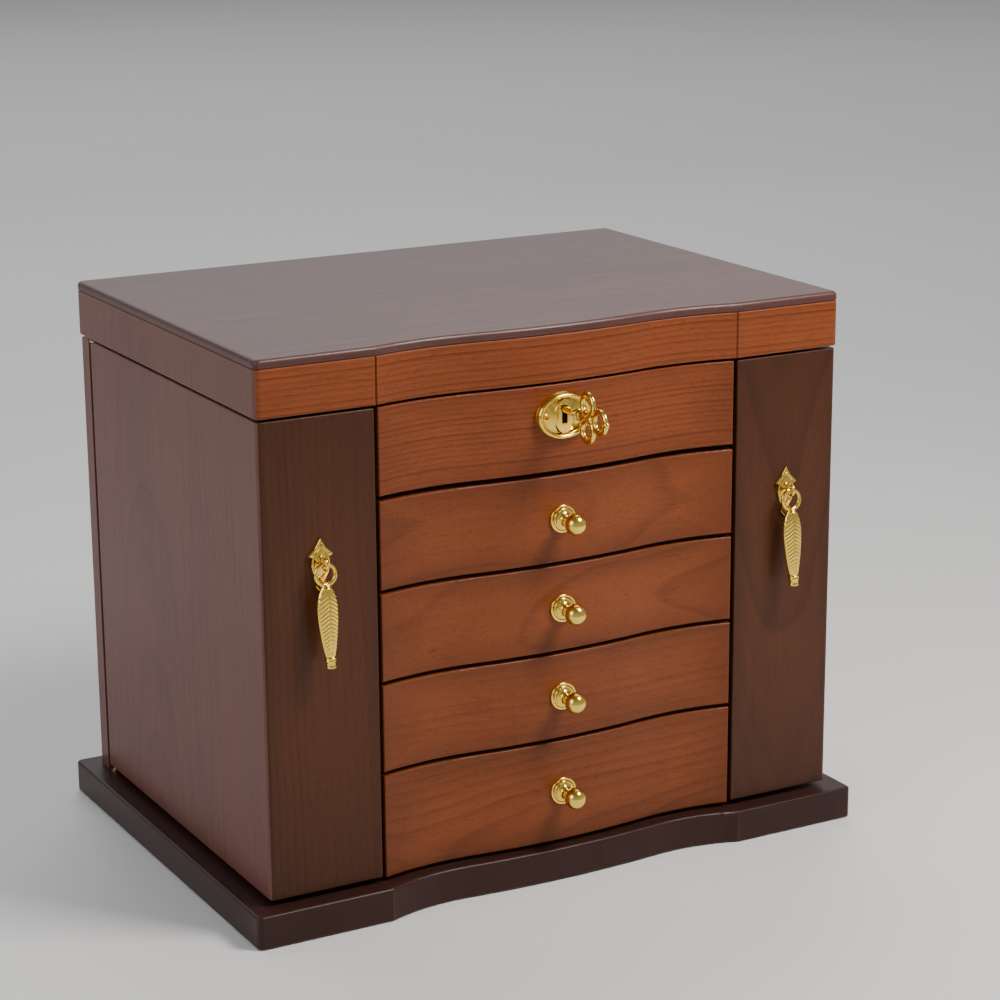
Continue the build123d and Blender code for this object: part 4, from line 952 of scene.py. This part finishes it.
def lining(name, low, high, body, stands_for, swell):
    """A velvet-wrapped card tray that fills a box from low to high."""
    centre = Vector(((low.x + high.x) / 2, (low.y + high.y) / 2, 0))
    half_x, half_y = (high.x - low.x) / 2 / mm, (high.y - low.y) / 2 / mm
    bottom, top = low.z / mm, high.z / mm
    floor_top, deepest = bottom + card, min(half_x, half_y) - 4.0
    steps = [(0.2, bottom, 0.5), (0.0, bottom + 0.5, 0.5), (0.0, top - roll_radius, 0.5)]
    steps += [(roll_radius - x, z, 0.6) for x, z in arc((0, top - roll_radius), roll_radius, 0, 180, 8)]
    steps += [(card, top - 1.6, 1.2), (card + 0.25, (top + floor_top) / 2, 1.6), (card, floor_top + 3.4, 2.0)]
    steps += [(card + 2.6 - x, floor_top + 2.6 + z, 3.0) for x, z in arc((0, 0), 2.6, 0, -90, 6)]
    for share in (0.02, 0.06, 0.14, 0.26, 0.42, 0.62, 0.82, 1.0):
        inset = card + 2.6 + (deepest - card - 2.6) * share
        steps.append((inset, floor_top + swell * math.sin(math.pi / 2 * min(1.0, share * 2.2)), 4.0))
    rings = []
    for inset, z, corner in steps:
        middle = centre + Vector((0, 0, z * mm))
        halves = (half_x - inset) * mm, (half_y - inset) * mm
        rings.append(rounded_rectangle(middle, *halves, corner * mm, 5, 12))
    made = piece(name, skin(rings), body, velvet, stands_for, 70.0)
    return made


for number in range(1, 5):
    low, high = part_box(f"drawer_{number}_lining")
    lining(f"drawer_{number}_velvet_tray", low, high, f"drawer_{number}", (f"drawer_{number}_lining",), 0.5)
low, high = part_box("tray_lining")
lining("top_velvet_tray", low, high, "chest", ("tray_lining",), 0.5)
print("linings 5")

# %% [markdown]
# The dividers are wadded boards that stand in the tray. Their places come from the joiner's node,
# which holds several separate boards. `solid_boxes` finds them by walking from face to face.

# %% Tray dividers


def solid_boxes(node_name):
    """The lowest and highest corner of each separate solid in a CAD node, from left to right."""
    walk = bmesh.new()
    walk.from_mesh(nodes[node_name].data)
    bmesh.ops.remove_doubles(walk, verts=walk.verts, dist=1e-6)
    unseen, found = set(walk.verts), []
    while unseen:
        group, edge_of_group = set(), [next(iter(unseen))]
        while edge_of_group:
            vertex = edge_of_group.pop()
            if vertex in group:
                continue
            group.add(vertex)
            edge_of_group += [line.other_vert(vertex) for line in vertex.link_edges]
        unseen -= group
        places = np.array([v.co for v in group])
        found.append((Vector(places.min(0)), Vector(places.max(0))))
    walk.free()
    return sorted(found, key=lambda corners: (round(corners[0].x, 4), round(corners[0].y, 4)))


for index, (low, high) in enumerate(solid_boxes("tray_dividers"), 1):
    centre = Vector(((low.x + high.x) / 2, (low.y + high.y) / 2, 0))
    half_x, half_y = (high.x - low.x) / 2, (high.y - low.y) / 2
    thick = min(half_x, half_y)
    steps = [(0.0, low.z), (0.0, low.z + 2 * mm), (-0.15 * mm, (low.z + high.z) / 2), (0.0, high.z - thick)]
    turns = [math.radians(a) for a in (20, 40, 60, 80)]
    steps += [(thick * 0.9 * (1 - math.cos(t)), high.z - thick * (1 - math.sin(t))) for t in turns]
    rings = [rounded_rectangle(centre + Vector((0, 0, z)), half_x - inset, half_y - inset, 0.9 * thick, 5, 14)
             for inset, z in steps]
    divider = piece(f"velvet_divider_{index}", skin(rings), "chest", velvet, ("tray_dividers",),
                    70.0)
print("dividers", len(solid_boxes("tray_dividers")))

# %% [markdown]
# ## Ring cushions
# Rings are held between soft rolls that press on each other. A roll is a velvet tube stuffed with
# wadding, so it is fattest in the middle and pulled in at its sewn ends. We let the cloth solver
# find that shape: a slightly small bar is remeshed evenly, blown up with a little pressure, and each
# point may move only so far. One roll is simulated, and the others are copies with their own small
# unevenness, which is quicker and still looks hand made.

# %% Ring cushions
roll_boxes = solid_boxes("ring_rolls")
roll_low, roll_high = roll_boxes[0]
roll_half = (roll_high - roll_low) / 2
stuffing = {"voxel": 0.0030, "pressure": 4.0, "frames": 20, "cap": 0.0016}


def inflate(surface, voxel, pressure, frames, cap):
    """Points and faces of a stuffed cloth shape, grown from a closed surface."""
    mesh = bpy.data.meshes.new("wadding")
    mesh.from_pydata([tuple(p) for p in surface[0]], [], surface[1])
    stuffed = bpy.data.objects.new("wadding", mesh)
    bpy.context.scene.collection.objects.link(stuffed)
    even = stuffed.modifiers.new("even", "REMESH")
    even.mode, even.voxel_size = "VOXEL", voxel
    graph = bpy.context.evaluated_depsgraph_get()
    stuffed.data = bpy.data.meshes.new_from_object(stuffed.evaluated_get(graph))
    stuffed.modifiers.clear()
    before = np.array([v.co for v in stuffed.data.vertices])
    solver = stuffed.modifiers.new("stuffing", "CLOTH")
    solver.settings.use_pressure = True
    solver.settings.uniform_pressure_force = pressure
    solver.settings.effector_weights.gravity = 0.0
    solver.point_cache.frame_end = frames
    for frame_number in range(1, frames + 1):
        bpy.context.scene.frame_set(frame_number)
    graph = bpy.context.evaluated_depsgraph_get()
    after_mesh = bpy.data.meshes.new_from_object(stuffed.evaluated_get(graph))
    after = np.array([v.co for v in after_mesh.vertices])
    faces = [tuple(face.vertices) for face in after_mesh.polygons]
    moved = after - before
    length = np.maximum(np.linalg.norm(moved, axis=1, keepdims=True), 1e-9)
    bpy.data.objects.remove(stuffed)
    bpy.context.scene.frame_set(1)
    return before + moved * np.minimum(1.0, cap / length), faces


def bar_rings(half):
    """A bar along X with a rounded back and drawn-in ends."""
    rings = []
    for share in (-1.0, -0.985, -0.95, -0.85, -0.6, -0.3, 0.0, 0.3, 0.6, 0.85, 0.95, 0.985, 1.0):
        pull = 1.0 - 0.5 * max(0.0, (abs(share) - 0.94) / 0.06) ** 2
        flat = rounded_rectangle(Vector(), half.y * pull, half.z * pull, half.y * 0.8 * pull, 5, 6)
        rings.append([Vector((share * half.x, p.x, p.y)) for p in flat])
    return rings


small_half = Vector((roll_half.x - 0.5 * mm, roll_half.y - 0.6 * mm, roll_half.z - 0.6 * mm))
roll_points, roll_faces = skin(bar_rings(small_half))
roll_points = np.array([tuple(p) for p in roll_points])
roll_points, roll_faces = inflate(skin(bar_rings(small_half)), **stuffing)
span = (roll_points.max(0) - roll_points.min(0)) / 2
fitted = roll_points / span * (np.array(roll_half) + np.array((0.0, 0.35 * mm, 0.0)))
unevenness = random.Random(11)
for index, (low, high) in enumerate(sorted(roll_boxes, key=lambda corners: corners[0].y), 1):
    waves = [(unevenness.uniform(30, 90), unevenness.uniform(0, 6.3), unevenness.uniform(0.1, 0.35) * mm)
             for _ in range(3)]
    points = fitted.copy()
    for stretch, phase, height in waves:
        points[:, 2] += height * np.sin(points[:, 0] * stretch + phase) * (points[:, 2] > 0)
    points += np.array((low + high) / 2)
    roll = piece(f"ring_cushion_{index}", (points, roll_faces), "chest", velvet, ("ring_rolls",),
                 75.0)
    finer = roll.modifiers.new("finer", "SUBSURF")
    finer.levels = finer.render_levels = 1
print("ring cushions", len(roll_boxes), "points each", len(roll_points))

# %% [markdown]
# ## Lid lining and mirror
# Under the lid, velvet-wrapped card frames a mirror with a ground bevel, and a twisted cord hides the
# joint. The bevel is real geometry: it bends the reflection along the border, and no texture does.

# %% Lid lining, mirror and its cord
low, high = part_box("lid_lining")
glass_low, glass_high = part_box("lid_mirror")
centre = Vector(((low.x + high.x) / 2, (low.y + high.y) / 2, 0))
half_x, half_y = (high.x - low.x) / 2 / mm, (high.y - low.y) / 2 / mm
glass_half_x, glass_half_y = (glass_high.x - glass_low.x) / 2, (glass_high.y - glass_low.y) / 2
border_x, border_y = half_x - glass_half_x / mm, half_y - glass_half_y / mm
under, ceiling, above = low.z / mm, glass_low.z / mm, high.z / mm
steps = [(0, 0, above, 0.5), (0, 0, under + roll_radius, 0.5)]
rolled_edge = arc((0, 0), roll_radius, 0, -180, 8)
steps += [(roll_radius - x, roll_radius - x, under + roll_radius + z, 0.6) for x, z in rolled_edge]
steps += [(card, card, under + 1.6, 1.2), (card, card, ceiling - 2.2, 2.0)]
steps += [(card + 2.0 - x, card + 2.0 - x, ceiling - 2.0 + z, 3.0) for x, z in arc((0, 0), 2.0, 0, 90, 5)]
hollows = ((0.35, 0.5), (0.7, 0.6))
steps += [(border_x * share, border_y * share, ceiling - sag, 3.0) for share, sag in hollows]
steps += [(border_x - 0.8, border_y - 0.8, ceiling - 0.2, 2.0), (border_x, border_y, ceiling + 0.6, 2.0)]
steps += [(border_x, border_y, above, 2.0)]
rings = [rounded_rectangle(centre + Vector((0, 0, z * mm)), (half_x - inset_x) * mm, (half_y - inset_y) * mm,
                           corner * mm, 5, 12) for inset_x, inset_y, z, corner in steps]
lid_velvet = piece("lid_velvet_lining", skin(rings, loop=True), "lid", velvet, ("lid_lining",),
                   70.0)

silvered, tree, shader, place = open_material("silvered_glass")
dust = noise(tree, place, 60.0, 4.0)
tree.links.new(mix(tree, dust, (0.86, 0.88, 0.88, 1), (0.91, 0.92, 0.92, 1)), shader.inputs["Base Color"])
tree.links.new(remap(tree, dust, 0.45, 0.8, 0.015, 0.05), shader.inputs["Roughness"])
shader.inputs["Metallic"].default_value = 1.0
bevel_width, rim_edge = 9.0, 1.3
glass_steps = [(0.0, glass_high.z, 2.0), (0.0, glass_low.z + rim_edge * mm, 2.0)]
glass_steps.append((bevel_width, glass_low.z, 1.0))
rings = [rounded_rectangle(centre + Vector((0, 0, z)), glass_half_x - inset * mm, glass_half_y - inset * mm,
                           corner * mm, 5, 4) for inset, z, corner in glass_steps]
piece("bevelled_mirror", skin(rings), "lid", silvered, ("lid_mirror",), 3.0)

cord_radius, cord_twist = 1.25, 0.55
cord_material = cloth_material("gold_twisted_cord", (0.62, 0.43, 0.16), (0.36, 0.22, 0.07), 0.30, 0.3, 0.3,
                               0.08, gloss=0.8)
cord_middle = centre + Vector((0, 0, glass_low.z - 0.3 * mm))
cord_path = rounded_rectangle(cord_middle, glass_half_x, glass_half_y, 4 * mm, 8, 170)
rings = []
for k, point in enumerate(cord_path):
    ahead = (cord_path[(k + 1) % len(cord_path)] - cord_path[k - 1]).normalized()
    side_way = ahead.cross(up_axis)
    ring = []
    for j in range(12):
        t = 2 * math.pi * j / 12
        swell = cord_radius * (0.78 + 0.22 * abs(math.cos(t + k * cord_twist))) * mm
        ring.append(point + side_way * swell * math.cos(t) + up_axis * swell * math.sin(t))
    rings.append(ring)
piece("mirror_cord_trim", skin(rings, loop=True), "lid", cord_material, (), 80.0)
print("mirror", round(2 * glass_half_x, 3), "x", round(2 * glass_half_y, 3))

# %% [markdown]
# ## Wings inside
# A velvet panel covers the inside of each wing, and a satin pocket catches the ends of the chains.
# The pocket is cut wider than the wing and gathered on an elastic, so the cloth stands in folds at
# the top that die away towards the bottom. The folds are sines with seeded steps, not even ones,
# because an elastic never gathers cloth evenly. The lowest edge is tacked flat.

# %% Wing panels and pockets
cap_thickness, panel_margin = 8.0, 0.6
fullness = random.Random(23)
for side, sign in sides.items():
    cap_low, cap_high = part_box(f"{side}_wing_caps")
    pocket_low, pocket_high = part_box(f"{side}_wing_pocket")
    wall_x = pocket_low.x if sign < 0 else pocket_high.x
    inward = Vector((-sign, 0, 0))
    panel_middle = Vector((wall_x, (cap_low.y + cap_high.y) / 2, (cap_low.z + cap_high.z) / 2))
    panel_y = (cap_high.y - cap_low.y) / 2 - panel_margin * mm
    panel_z = (cap_high.z - cap_low.z) / 2 - (cap_thickness + panel_margin) * mm
    rings = []
    for inset, lift in ((0.0, 0.05), (0.0, 0.4), (0.3, 0.75), (1.2, 0.9), (20.0, 0.95)):
        flat = rounded_rectangle(Vector(), panel_y - inset * mm, panel_z - inset * mm, 3 * mm, 5, 10)
        rings.append([panel_middle + Vector((0, p.x, p.y)) + inward * lift * mm for p in flat])
    panel = piece(f"{side}_wing_velvet_panel", skin(rings), f"{side}_wing", velvet, (), 70.0)

    length, height, puff = pocket_high.y - pocket_low.y, pocket_high.z - pocket_low.z, 7.2
    steps = [0.0]
    while steps[-1] < 34:
        steps.append(steps[-1] + fullness.uniform(0.75, 1.3))
    columns, rows = 340, 44
    points, faces = [], []
    for row in range(rows + 1):
        v = row / rows
        belly = math.sin(math.pi * min(1.0, v / 0.93) ** 0.8) if v < 0.93 else 0.0
        pinch = math.exp(-(((v - 0.90) / 0.025) ** 2))
        for column in range(columns + 1):
            u = column / columns
            fold = math.sin(2 * math.pi * np.interp(u * (len(steps) - 1), range(len(steps)), steps))
            ends = min(1.0, math.sin(math.pi * u) * 5.0) ** 0.6
            ripple = (0.15 + 1.25 * v**1.4) * (1 - 0.55 * pinch) * fold
            swell = 0.8 + (puff - 2.6) * belly * 0.75 + 4.4 * min(1.0, v * 3.0) - 0.9 * pinch
            stand = max(0.5, (swell + ripple) * ends + 0.4)
            sag = -1.2 * belly * math.sin(math.pi * u)
            place = Vector((wall_x, pocket_low.y + length * u, pocket_low.z + height * v + sag * mm))
            points.append(place + inward * (stand + 0.6) * mm)
    for row in range(rows):
        for column in range(columns):
            corner = row * (columns + 1) + column
            faces.append((corner, corner + 1, corner + columns + 2, corner + columns + 1))
    pocket = piece(f"{side}_satin_pocket", (points, faces), f"{side}_wing", satin,
                   (f"{side}_wing_pocket",), 80.0)
    thickness = pocket.modifiers.new("thickness", "SOLIDIFY")
    thickness.thickness, thickness.offset = 0.45 * mm, 0.0
print("pocket", columns, "by", rows)

# %% [markdown]
# ## Felt foot
# Felt is glued under the base so that it doesn't scratch a table. It is cut with a knife, so its edge
# is square but slightly furred. We copy the joiner's outline and soften only that edge.

# %% Felt
felt_mesh = bmesh.new()
felt_mesh.from_mesh(nodes["base_felt"].data)
bmesh.ops.remove_doubles(felt_mesh, verts=felt_mesh.verts, dist=1e-6)
corners = [line for line in felt_mesh.edges if line.calc_face_angle(0.0) > math.radians(60)]
bmesh.ops.bevel(felt_mesh, geom=corners, offset=0.25 * mm, segments=2, affect="EDGES")
felt_mesh.verts.index_update()
felt_points = [v.co.copy() for v in felt_mesh.verts]
felt_faces = [tuple(v.index for v in f.verts) for f in felt_mesh.faces]
felt_mesh.free()
felt_pad = piece("felt_foot", (felt_points, felt_faces), "chest", felt, ("base_felt",), 50.0)
